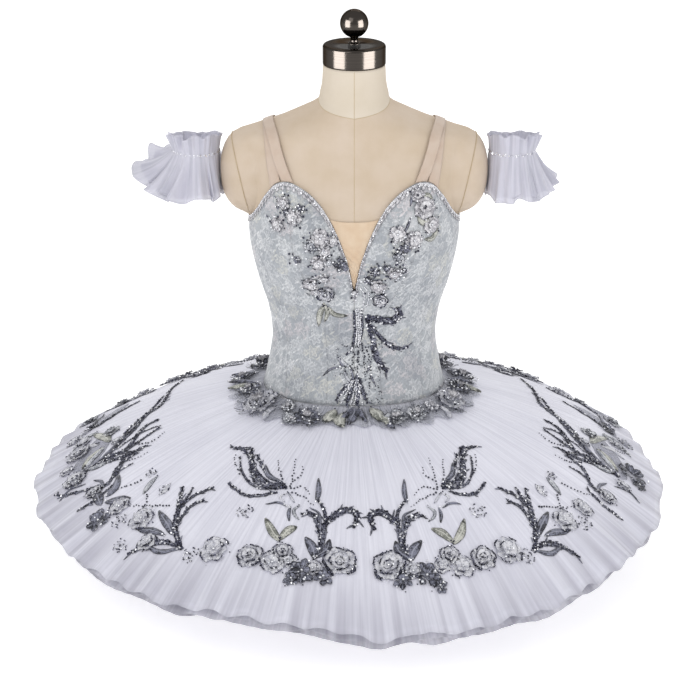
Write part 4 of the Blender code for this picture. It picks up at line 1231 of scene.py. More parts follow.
# %% Lace, foil and glass
def lace(name, pale, deep, cord, rib, start=0.80, sheer=1.0):
    """Stitches in pale and deep, and a worn cord past a share of the way to the edge.

    sheer is how solid the cloth is between its cords."""
    made, tree = finish(name, Roughness=0.45, Metallic=0.15, Sheen_Weight=0.2)
    coordinate = add(tree, "TexCoord", out=None)
    parts = add(tree, "SeparateXYZ", (coordinate["UV"],), out=None)
    aside = add(tree, "Math ADD", (parts[0], -0.5))
    aside = add(tree, "Math MULTIPLY", (aside, 2.0))
    aside = add(tree, "Math ABSOLUTE", (aside,))
    edge = add(tree, "Math MAXIMUM", (aside, parts[1]))
    # Embroidery thread is 0.3 mm thick; its stitches are drawn 2.4 mm apart so that they show.
    speck, patch, worn = (
        add(tree, "TexNoise", {0: coordinate["Object"], "Scale": scale, "Detail": detail})
        for scale, detail in ((420.0, 2.0), (70.0, 2.0), (210.0, 1.0))
    )
    mixed = add(tree, "Math ADD", (speck, patch))
    tone = add(tree, "Math MULTIPLY", (mixed, 0.5))
    body = add(tree, "ValToRGB", (tone,), ramp=((0.44, deep), (0.56, pale)))
    middle = add(tree, "MapRange", (aside, 0.05, 0.16, 0.75, 0.0))
    ribbed = {0: middle, 6: body, 7: linear(rib)}
    ribbed = add(tree, "Mix", ribbed, out=2, data_type="RGBA")
    rim = add(tree, "MapRange", (edge, start, start + 0.08))
    worn = add(tree, "MapRange", (worn, 0.42, 0.54))
    rim = add(tree, "Math MULTIPLY", (rim, worn))
    corded = {0: rim, 6: ribbed, 7: linear(cord)}
    add(tree, "Mix", corded, out=2, into="Base Color", data_type="RGBA")
    if sheer < 1:
        add(tree, "MapRange", {0: rim, 3: sheer, 4: 1.0}, into="Alpha")
    height = add(tree, "Math MULTIPLY_ADD", (rim, 2.0, tone))
    add(tree, "Bump", {"Height": height, "Strength": 0.7, "Distance": 0.0005}, into="Normal")
    return made


def foil(name, pale, deep, roughness, metallic, scale=500.0):
    """Bright and dull pieces: noise on Object coordinates, about one patch to each sequin."""
    made, tree = finish(name, Metallic=metallic, Roughness=roughness)
    where = add(tree, "TexCoord", out="Object")
    lots = add(tree, "TexNoise", {0: where, "Scale": scale, "Detail": 1.0})
    add(tree, "ValToRGB", (lots,), ramp=((0.42, deep), (0.62, pale)), into="Base Color")
    return made


LACES = {  # piece, stuff, its pale, deep, cord and rib, where the cord starts, how solid it is
    "silver": ("silver", "organza_lace", "f4f4f9", "cdced8", "606276", "fafafc", 0.88, 0.55),
    "pearl": ("pearl", "organza_lace", "dedde0", "aeacb2", "8b8a92", "f2f0f2"),
    "grey": ("grey", "silk_lace", "c4c6cc", "6c6f7a", "2f3039", "dcdee2"),
    "dark": ("charcoal", "satin_lace", "7d7f90", "232430", "15151f", "a4a6b4"),
    "olive": ("olive", "organza_lace", "c2c2ba", "74766f", "3b3c38", "dcdcd4"),
    "veil": ("veil", "tulle_veil", "b0b1be", "898b98", "6f717d", "b0b1be", 0.94, 0.36),
}
CLOTHS = {
    key: Pile(f"lace_{name}", lace(f"{stuff}_{name}", *looks))
    for key, (name, stuff, *looks) in LACES.items()
}
CHARCOAL = Pile("sequins_charcoal", foil("foil_sequins_charcoal", "5a5b6e", "12121b", 0.26, 0.8))
BRIGHT = Pile("sequins_silver", foil("foil_sequins_silver", "fbfbfd", "cccdd4", 0.20, 0.85))
STONES = Pile("cut_stones", foil("cut_glass_foil_back", "ffffff", "c6c9d2", 0.06, 0.75, 900.0))
BEADS = Pile("beads_charcoal", foil("glass_beads_charcoal", "48495a", "161620", 0.3, 0.3))
CORDS = Pile("cords_charcoal", foil("twisted_cord_charcoal", "4d515d", "2b2e39", 0.5, 0.2))

# %% [markdown]
# ## The motifs
# A rosette is two rings of petals round a stone, with a few loose sequins; a bloom is a larger
# one that stands up, as on the hips. A strand is a row of charcoal sequins on a thin dark leaf,
# with a silver one here and there. These functions are all that the tables below need.


# %% Rosettes
KINDS = {  # cloth, outer petals, their width, then each ring of sequins: size, arcs, gaps
    "silver": ("silver", 7, 0.80, ((0.97, 4, 0.2), (0.58, 3, -0.1))),
    "ringed": (
        "silver", 7, 0.84, ((1.00, 2, -0.70), (0.90, 3, 0.3), (0.60, 3, -0.65), (0.3, 2, -0.9))
    ),
    "pearl": ("pearl", 6, 0.80, ((0.90, 5, 0.45), (0.45, 2, 0.3))),
    "cream": ("pearl", 8, 0.90, ()),
    "grey": ("grey", 7, 0.74, ((0.60, 3, 0.5),)),
    "dark": ("dark", 6, 0.60, ()),
    "ghost": (None, 0, 0.0, ((0.95, 5, 0.4), (0.55, 3, 0.4))),
}


def spread(count, near, far):
    """Random spots about a middle, between two distances."""
    turn, reach = draws.uniform(0, 6.28, count), draws.uniform(near, far, count)
    return np.stack([reach * np.sin(turn), reach * np.cos(turn)], axis=1)


def rosette(at, radius, kind, tall, stones):
    """Outer and inner petals under rings of sequins, each ring broken where a sine is low."""
    cloth, count, wide, rings = KINDS[kind]
    spin = draws.uniform(0, 6.28)
    if cloth:
        size = np.array((0.64, wide, 0.36, 0.20 * tall, 0.10 * tall, 0.06 * tall)) * radius
        CLOTHS[cloth].sew(at, petals(count, *size, spin, lift=0.0006))
        size = np.array((0.50, 0.8 * wide, 0.10, 0.36 * tall, 0.08 * tall, 0.05 * tall)) * radius
        CLOTHS[cloth].sew(at, petals(5, *size, spin + 0.5, lift=0.0008 + 0.10 * tall * radius))
    for share, arcs, low in rings:
        turn = np.arange(spin, spin + 6.28, 0.0022 / (share * radius))
        turn = turn[np.sin(arcs * turn + 5 * share) > low]
        far = share * radius * (1 + 0.06 * np.sin(5 * turn)) + draws.normal(0, 0.0004, len(turn))
        ring = np.stack([far * np.sin(turn), far * np.cos(turn)], axis=1)
        high = 0.0010 + (0.26 - 0.14 * share) * tall * radius * (kind != "ghost")
        CHARCOAL.scatter(at, ring, 0.0009 + 0.032 * radius, lean=0.35, lift=high)
    high = 0.24 * tall * radius * (kind != "ghost")
    if stones:
        gems = np.concatenate([[(0, 0)], spread(stones - 1, 0.3 * radius, 0.8 * radius)])
        STONES.scatter(at, gems, 0.0016 + 0.03 * radius, STONE, 7, 0.15, 0.0010 + 0.7 * high)
    else:
        BEADS.scatter(at, spread(5, 0, 0.16 * radius), 0.0012, BEAD, 6, 0.1, 0.0010 + 0.6 * high)
    BRIGHT.scatter(at, spread(8, 0.3 * radius, 1.1 * radius), 0.0014, lift=0.0012 + high, lean=0.4)
    CHARCOAL.scatter(at, spread(6, 0.3 * radius, 1.25 * radius), 0.0013, lift=0.0012, lean=0.4)


# %% Strands, strings and leaves
# Metres from one small leaf to the next, and the share of a strand's sequins that is silver
LEAFLET_GAP, SILVER_SHARE = 0.0075, 0.16


def leaflets(path, length, width):
    """Small pointed leaves beside a path, left and right by turns, that lean along it."""
    line, slope = course(path, 160)
    count = max(int(steps(line).sum() / LEAFLET_GAP), 3)
    chosen = np.linspace(12, 148, count).astype(int)
    turn = np.where(np.arange(count) % 2, 0.55, -0.55) + draws.normal(0, 0.16, count)
    cosine, sine, (x, y) = np.cos(turn), np.sin(turn), slope[chosen].T
    ahead = np.stack([x * cosine - y * sine, x * sine + y * cosine])[..., None, None]
    s, c = np.linspace(0, 1, 5)[None, :, None], np.linspace(-1, 1, 3)[None, None, :]
    along = s * length * draws.uniform(0.6, 1.25, count)[:, None, None]
    across = width / 2 * np.sin(np.pi * (0.08 + 0.88 * s)) * c
    foot = line[chosen].T[..., None, None]
    a = foot[0] + along * ahead[0] + across * ahead[1]
    b = foot[1] + along * ahead[1] - across * ahead[0]
    return a, b, 0.0004 + 0.0008 * (1 - c**2) * np.sin(np.pi * s) + 0 * a


def strand(at, path, width):
    """Sequins in close rows, one in six of them silver, on a dark leaf with small ones beside."""
    CLOTHS["dark"].sew(at, blade(path, width * 1.1, 0.0004, columns=3))
    if width > 0.0043:
        CLOTHS["dark"].sew(at, leaflets(path, 0.0045 + width, 0.0026))
    aside = np.arange(-width / 2 + 0.0012, width / 2, 0.0026)
    aside = aside if len(aside) else (0.0,)
    spots = dotted(path, 0.0027, 0.0006, aside)
    silver = draws.uniform(size=len(spots)) < SILVER_SHARE
    CHARCOAL.scatter(at, spots[~silver], 0.0018, lift=0.0009, lean=0.30)
    BRIGHT.scatter(at, spots[silver], 0.0016, lift=0.0013, lean=0.45)


def string(at, path, spacing):
    """Small dark beads in a row, that grow apart as if they were thrown."""
    spots = dotted(path, spacing, 0.0007)
    sizes = np.linspace(0.0017, 0.0010, len(spots))[:, None, None]
    BEADS.scatter(at, spots, sizes, BEAD, 6, 0.1, 0)


def leaf(at, path, width, cloth, fold=0.0016):
    """A leaf of corded lace with a raised midrib and sequins at its foot and along it."""
    CLOTHS[cloth].sew(at, blade(path, width, fold, power=0.7))
    spots = dotted(path, 0.004, 0.0008)
    pile = BRIGHT if cloth == "dark" else CHARCOAL
    pile.scatter(at, spots[:2], 0.0014, lift=0.0024, lean=0.3)
    if width > 0.008:
        pile.scatter(at, spots[2::2] + draws.normal(0, width / 7, spots[2::2].shape), 0.0010)


def trim(at, path, kind, width):
    """One row of a table below, whose widths are in millimetres."""
    width = width / 1000
    if kind == "veil":
        CLOTHS["veil"].sew(at, blade(path, width, 0.0, 0.0001, 9, 15, 0.6))
    elif kind == "bright":
        BRIGHT.scatter(at, dotted(path, 0.0022, 0.0004), 0.0015, BEAD, 6, 0.1, 0.0002)
    elif kind in CLOTHS:
        leaf(at, path, width, kind)
    else:
        (strand if kind == "strand" else string)(at, path, width)


# %% The skirt's motifs
STRANDS = (  # kind, width in mm, then angle and distance in mm by turns, from foot to tip
    ("veil", 46, 77.4, 440, 80.5, 421, 86, 404, 94, 390), ("veil", 32, 99, 444, 105, 428, 111, 402),
    ("veil", 36, 108, 484, 113, 462, 119, 424),
    ("strand", 7.5, 25.2, 289, 29.8, 287, 34.8, 269, 39.8, 238),
    ("strand", 6, 25.2, 291, 30.2, 295, 34.2, 280, 37.8, 255, 42.5, 241),
    ("strand", 4.5, 39.6, 235, 43, 243, 47, 249), ("dark", 8.5, 26.2, 283, 30.5, 273, 33, 255),
    ("strand", 3.4, 27, 296, 31.6, 299, 36.8, 283, 41.2, 256),
    ("strand", 4.5, 25.8, 286, 29, 278, 33, 262, 37, 243),
    ("strand", 4.4, 26.6, 301, 29.8, 312, 33.4, 316, 38.4, 307),
    ("string", 5.5, 34.4, 291, 38.4, 281, 41.4, 268, 43.4, 254),
    ("silver", 3.6, 24.5, 300, 25.7, 309, 24, 316), ("silver", 3.6, 24, 299, 22.4, 306, 21, 313),
    ("dark", 4, 22.8, 323, 25.5, 319, 27.9, 326), ("dark", 5, 21.8, 321, 21.7, 333, 20.8, 346),
    ("grey", 4.5, 19, 316, 20.4, 325, 19.7, 334, 18, 340),
    ("string", 5.5, 23.8, 287, 25, 262, 26, 232), ("string", 5, 26.6, 280, 28.6, 260, 30.6, 240),
    ("string", 6, 23.4, 272, 21.7, 261, 22.2, 240), ("string", 5, 23.6, 290, 19.8, 281, 16.6, 292),
    ("string", 4.4, 22.8, 296, 18.4, 300, 14.6, 312),
    ("strand", 10.5, 10.8, 344, 8.8, 325, 6.5, 314, 4.2, 321, 5, 344),
    ("strand", 9, 11.6, 400, 10.8, 376, 10.6, 353, 10.5, 334),
    ("strand", 4.2, 10.4, 346, 11, 320, 13.4, 301),
    ("strand", 4.6, 10.8, 379, 12.2, 347, 14.5, 329, 17.8, 330),
    ("strand", 3.6, 11, 376, 12, 341, 13.2, 328, 16.4, 322),
    ("dark", 4, 11, 366, 11.8, 337, 12.8, 323, 15.8, 316), ("dark", 8, 14, 304, 14, 285, 15, 260),
    ("dark", 15, 11.8, 400, 12.8, 383, 15.2, 367), ("dark", 12, 12, 398, 9.8, 384, 9.4, 366),
    ("olive", 13, 22, 380, 20.4, 362, 18.2, 352), ("olive", 13, 21.7, 382, 24.4, 370, 26.8, 350),
    ("strand", 8, 38.2, 426, 42, 399, 44.8, 368, 48, 342),
    ("strand", 5.2, 41.5, 406, 42.4, 366, 40.4, 346),
    ("strand", 4.4, 44.2, 373, 43.5, 345, 40.8, 323),
    ("strand", 4, 44.6, 372, 44.8, 352, 45.6, 334),
    ("strand", 7, 38.2, 425, 42, 426, 44.4, 442, 46.6, 462),
    ("dark", 8, 38.3, 427, 40.8, 439, 45, 441), ("dark", 13, 41, 411, 44, 400, 48, 389),
    ("dark", 11, 42.6, 416, 46, 419, 49.2, 427), ("grey", 10, 56.8, 349, 56.2, 364, 55, 381),
    ("silver", 8, 51.2, 370, 51, 358, 51.8, 346), ("string", 4.6, 47, 376, 51.5, 392, 56, 409),
    ("string", 5, 59, 369, 60.8, 392, 63.6, 412), ("string", 4.6, 54, 378, 52, 393, 50.6, 410),
    ("strand", 5.6, 84.6, 356, 92, 333, 101.5, 311, 124, 344),
    ("strand", 4, 86, 362, 96, 328, 106, 322),
    ("strand", 8, 77, 430, 76.5, 384, 77.2, 355, 84.8, 330, 86.2, 306),
    ("strand", 6.4, 77.5, 418, 76.2, 371, 77, 342, 79.5, 306),
    ("strand", 5.2, 78.2, 385, 82.5, 362, 88, 340, 95, 328),
    ("dark", 9, 77.5, 412, 80.5, 382, 86.8, 354),
    ("strand", 7.6, 77.5, 431, 76, 397, 73, 359, 73.2, 343),
    ("strand", 5.4, 65.8, 416, 66.5, 399, 70.6, 379, 71.6, 348),
    ("strand", 3.6, 66, 409, 68, 384, 67.6, 360), ("dark", 5, 65.5, 412, 68.8, 410, 71.2, 417),
    ("strand", 4.8, 64, 461, 63.5, 444, 63.2, 427, 64.2, 397),
    ("dark", 3.4, 72, 468, 73.6, 450, 71.8, 428), ("string", 4.6, 72.6, 372, 69.4, 356, 68.6, 334),
    ("string", 5, 75.4, 340, 73.6, 320, 75.6, 300), ("grey", 15, 78.5, 425, 81.5, 407, 84, 392),
    ("grey", 13, 77.4, 424, 76, 405, 75.4, 388),
    ("strand", 6.4, 78.2, 400, 76.6, 371, 73.4, 352, 72.6, 330),
    ("strand", 3.6, 79, 372, 81.4, 342, 82, 322, 80.6, 304),
    ("grey", 9, 95.8, 413, 97, 430, 94.8, 448), ("string", 4.2, 88, 402, 89, 422, 90.4, 446),
    ("olive", 15, 85.5, 382, 90.5, 396, 95.5, 420), ("olive", 16, 84.4, 394, 82.2, 411, 79, 428),
    ("grey", 13, 96.2, 415, 94, 436, 90, 452), ("silver", 12, 87, 400, 88.6, 420, 86.4, 438),
    ("strand", 5.6, 101.5, 426, 105.2, 404, 109.4, 374),
    ("dark", 8, 101, 430, 104.6, 440, 110, 444), ("strand", 5, 112, 452, 117, 420, 121.6, 392),
)
ROSETTES = (  # angle, distance in mm, radius in mm, kind, cut stones
    (7.4, 401, 22, "ringed", 1), (9.8, 426, 15, "dark", 2), (12, 414, 12, "silver", 2),
    (14.5, 421, 20, "dark", 2), (16.6, 436, 12, "dark", 1), (18.2, 409, 12, "silver", 3),
    (20.2, 397, 14, "ringed", 0), (22, 417, 17, "silver", 3), (26.8, 414, 18, "ringed", 0),
    (33, 412, 21, "silver", 4), (36.4, 428, 11, "ghost", 0), (31.2, 344, 12, "ghost", 0),
    (49.8, 411, 19, "silver", 4), (56.8, 414, 16, "silver", 4), (53.6, 430, 11, "ghost", 0),
    (51.6, 358, 8, "ghost", 1), (66.5, 427, 14, "ringed", 3), (59, 352, 8, "ghost", 0),
    (74.6, 440, 12, "silver", 2), (91, 384, 15, "grey", 2), (84, 372, 10, "silver", 3),
    (92.5, 432, 16, "silver", 2), (101.6, 434, 16, "dark", 2), (108.6, 466, 16, "grey", 1),
    (97.6, 456, 14, "silver", 2), (116.8, 438, 16, "grey", 2), (121.6, 420, 18, "silver", 2),
)
RIGHT_ROSETTES = ((81.8, 450, 24, "dark", 2), (79, 464, 13, "dark", 1))
# The left half is not quite the right one's mirror: in front it comes nearer to the middle,
# and beside that it has leaves and flowers of its own.
CLOSER = np.array(((0, -5.6), (8, -5.2), (11, -4.6), (25, -7.6), (42, -2.6), (60, 0), (180, 0)))
LEFT_STRANDS = (
    ("dark", 16, 60.6, 430, 63.6, 427, 67.4, 424), ("dark", 15, 60.4, 424, 58.6, 410, 56.6, 396),
    ("dark", 15, 62, 418, 62.6, 402, 66.4, 386), ("strand", 4.4, 66, 408, 70.2, 440, 74.8, 472),
    ("strand", 4.4, 66.5, 391, 70.5, 376, 74, 367),
)
LEFT_ROSETTES = (
    (57.6, 446, 19, "dark", 5), (44.8, 436, 15, "silver", 3), (49, 458, 10, "ghost", 0),
    (87.2, 433, 19, "ringed", 2), (76, 440, 19, "ringed", 4), (81.6, 450, 11, "silver", 1),
)


def moved(angle, sign, turned):
    """A table's angle, brought nearer to the middle on the left, or turned to the back."""
    if sign < 0 and not turned:
        angle = angle + np.interp(angle, CLOSER[:, 0], CLOSER[:, 1])
    return angle + turned


for turned, last in ((0.0, 180), (122.0, 50)):  # the front's motifs, and some again at the back
    for sign in (1, -1):
        for kind, width, *spots in STRANDS + (LEFT_STRANDS if sign < 0 else ()):
            if spots[0] < last:
                angle, reach = np.reshape(spots, (-1, 2)).T
                spots = np.stack([moved(angle, sign, turned), reach / 1000], axis=1)
                trim(*skirt_path(sign, spots), kind, width)
        own = LEFT_ROSETTES if sign < 0 else RIGHT_ROSETTES
        for angle, reach, radius, kind, stones in ROSETTES + own:
            if angle < last:
                at = skirt_plan(sign, float(moved(angle, sign, turned)), reach / 1000)
                rosette(at, radius / 1000, kind, 0.7, stones)
print("sewn so far:", {key: len(pile.parts) for key, pile in CLOTHS.items()})

# %% [markdown]
# ## The bodice's embroidery
# On the bodice the same lace flowers climb from the point of the plunge to the top of each cup.
# A spray of sequins and silver bead strings hangs from the point, and another opens like a fan
# over the hem. A row of silver beads finishes the neckline's edge.

# %% The bodice's motifs
BODICE_FLOWERS = (  # x and height in mm, radius in mm, kind, cut stones
    (-103, 240, 10, "pearl", 4), (-88, 222, 12, "pearl", 4), (-98, 228, 7, "dark", 1),
    (-112, 208, 10, "pearl", 5), (-79, 235, 7, "dark", 1), (-52, 196, 14, "pearl", 4),
    (-64, 186, 10, "grey", 4), (-46, 178, 9, "pearl", 4), (-34, 192, 9, "pearl", 2),
    (-82, 165, 6, "dark", 0), (-54, 162, 12, "pearl", 5), (-40, 162, 8, "grey", 3),
    (-19, 156, 13, "dark", 6), (1, 109, 6, "pearl", 3), (-66, 124, 11, "pearl", 6),
    (-43, 106, 13, "ringed", 2), (-46, 134, 8, "pearl", 3), (-58, 110, 8, "pearl", 3),
    (92, 252, 10, "cream", 0), (102, 234, 16, "cream", 0), (112, 208, 12, "cream", 1),
    (64, 202, 12, "pearl", 5), (86, 192, 13, "pearl", 6), (74, 184, 9, "dark", 2),
    (66, 172, 9, "grey", 2), (60, 144, 11, "pearl", 6), (50, 153, 7, "dark", 1),
    (32, 144, 9, "dark", 2), (72, 148, 6, "dark", 1), (36, 120, 13, "pearl", 6),
    (22, 130, 8, "dark", 2), (39, 95, 11, "ringed", 1),
)
BODICE_STRANDS = (  # kind, width in mm, then x and height in mm by turns, from foot to tip
    ("strand", 12, 17, 66, 38, 60, 57, 57, 68, 67, 62, 79),
    ("strand", 6, 21, 60, 36, 35, 53, 14, 69, 6, 82, 7),
    ("strand", 9, 19, 60, 28, 29, 32, -1, 40, -16, 50, -30),
    ("strand", 3.6, 0, 76, 1, 40, -3, 12, -12, 0), ("strand", 3.6, 12, 80, 12, 43, 6, 12),
    ("bright", 2.6, 3, 80, 4, 43, 2, 17), ("bright", 2.6, 6, 80, 7, 43, 6, 13),
    ("bright", 2.6, 9, 78, 10, 43, 9, 19), ("bright", 4, 9, 116, 15, 104, 14, 86),
    ("bright", 4, 16, 118, 22, 106, 19, 86), ("grey", 6, -22, -3, -16, -13, -4, -21),
    ("dark", 3.4, -23, -5, -19, -15, -12, -21), ("grey", 5, -15, -22, -12, -35, -3, -46),
    ("dark", 3, -6, -21, -2, -33, -1, -44), ("dark", 3.2, -22, -20, -35, -24, -47, -36),
    ("strand", 5, -1, -39, -14, -53, -27, -74), ("bright", 2.6, 0, -41, -9, -57, -20, -78),
    ("bright", 2.6, -3, -41, -14, -58, -24, -72), ("strand", 5, 2, -41, -6, -62, -12, -80),
    ("bright", 2.6, 3, -40, -1, -62, -6, -80), ("strand", 5.6, 5, -41, 6, -62, 5, -81),
    ("bright", 2.4, 6, -40, 9, -60, 13, -79), ("bright", 2.4, 4, -44, 3, -60, 0, -80),
    ("strand", 4.6, 8, -38, 13, -58, 20, -78), ("dark", 9, 5, -30, 4, -45, 2, -60),
    ("olive", 9, -43, 88, -51, 70, -53, 48), ("olive", 8, -40, 84, -29, 70, -10, 68),
    ("olive", 7, -46, 90, -40, 74, -44, 56), ("dark", 3.6, 86, 260, 84, 249, 82, 238),
    ("dark", 4, 82, 223, 78, 213, 73, 204), ("olive", 9, 92, 226, 100, 214, 112, 217),
    ("olive", 9, 96, 246, 106, 250, 114, 244), ("olive", 8, 122, 200, 114, 188, 102, 190),
    ("dark", 2.6, 23, -14, 22, -22, 19, -30), ("dark", 2.6, 24, -30, 27, -39, 33, -51),
    ("string", 3.4, 6, 15, 6, -11, 5, -33), ("string", 4, 12, 20, 15, -8, 17, -40),
    ("string", 4.6, 17, 14, 24, -12, 23, -60), ("string", 4.6, 0, 6, -2, -12, -2, -30),
)

for x, height, radius, kind, stones in BODICE_FLOWERS:
    at = bodice_plan(x / 1000, height / 1000)
    rosette(at, radius / 1000, kind, 0.8, stones)
    CHARCOAL.scatter(at, spread(4, 0.009, 0.017), 0.0019, lean=0.4, lift=0.0010)
    BRIGHT.scatter(at, spread(4, 0.006, 0.016), 0.0017, lean=0.4, lift=0.0010)
for kind, width, *spots in BODICE_STRANDS:
    trim(*bodice_path(np.reshape(spots, (-1, 2)) / 1000), kind, width)
thrown = draws.uniform((-0.030, -0.078), (0.046, 0.020), (150, 2))
BEADS.scatter(bodice_plan(0.0, 0.0), thrown * (1, -1), 0.0009, BEAD, 5, 0.1, 0.0001)

# %% The neckline's edge
EDGE_DROP, EDGE_PITCH, SCALLOP_DROP = 0.0022, 0.0031, 0.003


def edge_lay(a, b, lift):
    """Lays a along the neckline by its number of degrees and b down from its edge."""
    height = neckline(a) - EDGE_DROP - b
    return off_skin(a, height, CLEARANCE + BODICE_WALL + EDGE_LIFT + lift)


edge_angles = np.linspace(-179, 179, 1400)
run = travelled(edge_lay(edge_angles, 0.0, 0.0))
spots = np.interp(np.arange(0.001, run[-1], EDGE_PITCH), run, edge_angles)
pairs = np.stack([spots, np.zeros(len(spots))], axis=1)
BRIGHT.scatter((edge_lay, 1), pairs, 0.0014, BEAD, 6, 0.05, 0.0001)
print("beads on the neckline:", len(pairs))
scallop = petals(3, 0.0060, 0.0066, 0.0008, 0.0010, 0, 0.0003, 0.0, 0.0003, 4, 3)
for angle in spots[::3]:

    def scallop_lay(a, b, lift, middle=float(angle)):
        """The same, with a in metres from one bead's angle and b down from under the edge."""
        return edge_lay(middle + np.degrees(a / BODICE_RADIUS), SCALLOP_DROP + b, lift)

    CLOTHS["pearl"].sew((scallop_lay, 1), scallop)
    if draws.uniform() < 0.5:
        BRIGHT.scatter((scallop_lay, 1), spread(2, 0.001, 0.004), 0.0013, lift=0.0012)

# %% [markdown]
# ## The wreath on the hips
# Where the bodice meets the skirt, a gathered ruffle of grey organza is sewn on, and lace
# blooms, leaves and frayed threads are sewn on it. The blooms stand up, so their petals rise
# and curl over. The ruffle starts at the bodice's hem and hides the panty.

# %% The ruffle
WREATH_WIDTH = np.array([  # angle from the front, width in metres
    (0, 0.050), (45, 0.056), (90, 0.061), (135, 0.056), (180, 0.052),
])
RUFFLE_WALL, RUFFLE_STRIP, RUFFLE_ROWS = 0.0004, 0.064, 18
RUFFLE_LIFT, LEAF_LIFT = 0.0035, 0.0045  # how high the blooms and the leaves lie off the skirt


def wreath_plan(angle, offset):
    """A plan at an angle and a distance from the skirt's sewn edge, that lies on the ruffle."""
    lay, sign = skirt_plan(1, angle, float(sewn_reach(angle)) + offset)
    return (lambda a, b, lift: lay(a, b, lift + RUFFLE_LIFT)), sign


angles = circle(720)
turn = np.radians(angles)
share = np.linspace(0, 1, RUFFLE_ROWS)[:, None]
width = look_up(WREATH_WIDTH, np.abs(wrapped(angles)))
width = width * (0.86 + 0.14 * wave(turn, 31)) * 0.92
frill = 0.0012 * (1 + wave(turn + 0.3 * share, 61)) * share**0.7
frill = frill + 0.0005 * (1 + wave(turn, 113)) * share**0.5
reach = sewn_reach(angles) + 0.002 + width * share
start = off_skin(angles, BODICE_HEM - 0.0012, CLEARANCE + 0.0022)
blend = np.clip(share / 0.16, 0, 1)[..., None] ** 0.8
points = start * (1 - blend) + on_skirt(angles + 0 * share, reach, 0.0008 + frill) * blend
greys = ("cccdd6", "9fa1ac", "b4b6c0")
organza = tulle("silk_organza_grey", *greys, (0.64, 0.26), 0.125, streaks=170.0)
faces = grid_faces(*points.shape[:2], True)
ruffle = new_piece("organza_hip_ruffle", points, faces, organza, thickness=RUFFLE_WALL)
place(ruffle, "lace", "hip_wreath")
around, area = float(steps(points[-1]).sum()), cloth_area(points, True)
print("ruffle rim m", round(around, 3), "area m2", round(area, 4))

# %% The blooms, the leaves and the fray
BLOOMS = (  # angle, distance from the skirt's sewn edge in mm, radius in mm, kind, height
    (-57, 27, 30, "silver", 1.30), (-38, 14, 13, "grey", 1), (-22, 32, 20, "dark", 1.15),
    (-30, 40, 13, "grey", 0.9), (20, 30, 17, "grey", 1.20), (33, 27, 18, "grey", 1.1),
    (46, 18, 13, "silver", 1), (62, 25, 27, "silver", 1.30), (84, 22, 19, "dark", 1.3),
    (103, 32, 20, "dark", 1.3), (127, 28, 25, "dark", 1.4), (151, 28, 22, "silver", 1.3),
    (172, 28, 18, "dark", 1.2), (-169, 27, 21, "grey", 1.3), (-147, 30, 20, "dark", 1.2),
    (-124, 28, 25, "dark", 1.4), (-101, 36, 18, "dark", 1.2), (-80, 22, 18, "dark", 1.3),
)
WREATH_LEAVES = (  # cloth, width in mm, then angle and distance from the sewn edge in mm, by turns
    ("olive", 13, -9, 8, -11, 24, -13, 40), ("olive", 12, -5, 16, -6, 34, -4, 50),
    ("dark", 6, -1, -2, -3, 18, -7, 36), ("dark", 7, 0, -2, 0, 20, -2, 44),
    ("dark", 6, 2, -2, 3, 16, 5, 36), ("olive", 13, 8, 4, 11, 18, 13, 36),
    ("olive", 11, 12, 20, 15, 34, 17, 48), ("dark", 9, 17, 30, 16, 42, 17, 54),
    ("dark", 9, 76, 4, 80, 20, 86, 30), ("dark", 10, 93, 4, 97, 26, 96, 48),
    ("olive", 11, 88, 8, 90, 34, 88, 58), ("dark", 9, 110, 12, 113, 38, 111, 60),
    ("dark", 9, -70, 4, -74, 18, -80, 30), ("olive", 12, -84, 6, -89, 28, -91, 54),
    ("dark", 9, -88, 8, -95, 30, -99, 56), ("dark", 14, -106, 14, -109, 40, -110, 64),
    ("olive", 11, 140, 10, 138, 34, 140, 54), ("dark", 10, 160, 8, 162, 32, 160, 52),
    ("olive", 11, -160, 8, -158, 32, -161, 52), ("dark", 10, -137, 10, -136, 34, -138, 54),
    ("silver", 10, -45, 20, -46, 38, -43, 54), ("silver", 10, 50, 22, 51, 38, 48, 54),
)

for angle, offset, radius, kind, height in BLOOMS:
    at = wreath_plan(angle, offset / 1000)
    size = radius / 1000
    shape = np.array((0.52, 0.62, 0.46, 0.14, 0.04, 0.07)) * size * (1, 1, 1, height, 1, 1)
    CLOTHS[kind].sew(at, petals(8, *shape, draws.uniform(0, 6), 0.0018, 6, 7))
    rosette(at, size * 0.86, kind, height, 5)
    heart = np.array((0.26, 0.34, 0.03, 0.30 * height, 0.02, 0.04)) * size
    CLOTHS["pearl"].sew(at, petals(5, *heart, draws.uniform(0, 6), 0.18 * height * size))
    hairs = np.array((0.54, 0.045, 0.84, 0.16, 0.0, 0.02)) * size
    for cloth in ("grey", "dark"):
        CLOTHS[cloth].sew(at, petals(14, *hairs, draws.uniform(0, 6), 0.0014, 4, 2))
    stars = draws.normal(0, 0.42 * size, (14, 2))
    BRIGHT.scatter(at, stars, 0.0019, STONE, 6, 0.35, 0.3 * height * size)
for kind, width, *spots in WREATH_LEAVES:
    spots = np.reshape(spots, (-1, 2))
    spots = [(angle, float(sewn_reach(angle)) + max(far, 3) / 1000) for angle, far in spots]
    (lay, _), path = skirt_path(1, spots)
    at = (lambda a, b, lift, lay=lay: lay(a, b, lift + LEAF_LIFT)), 1
    leaf(at, path, width / 1000, kind, 0.0035)

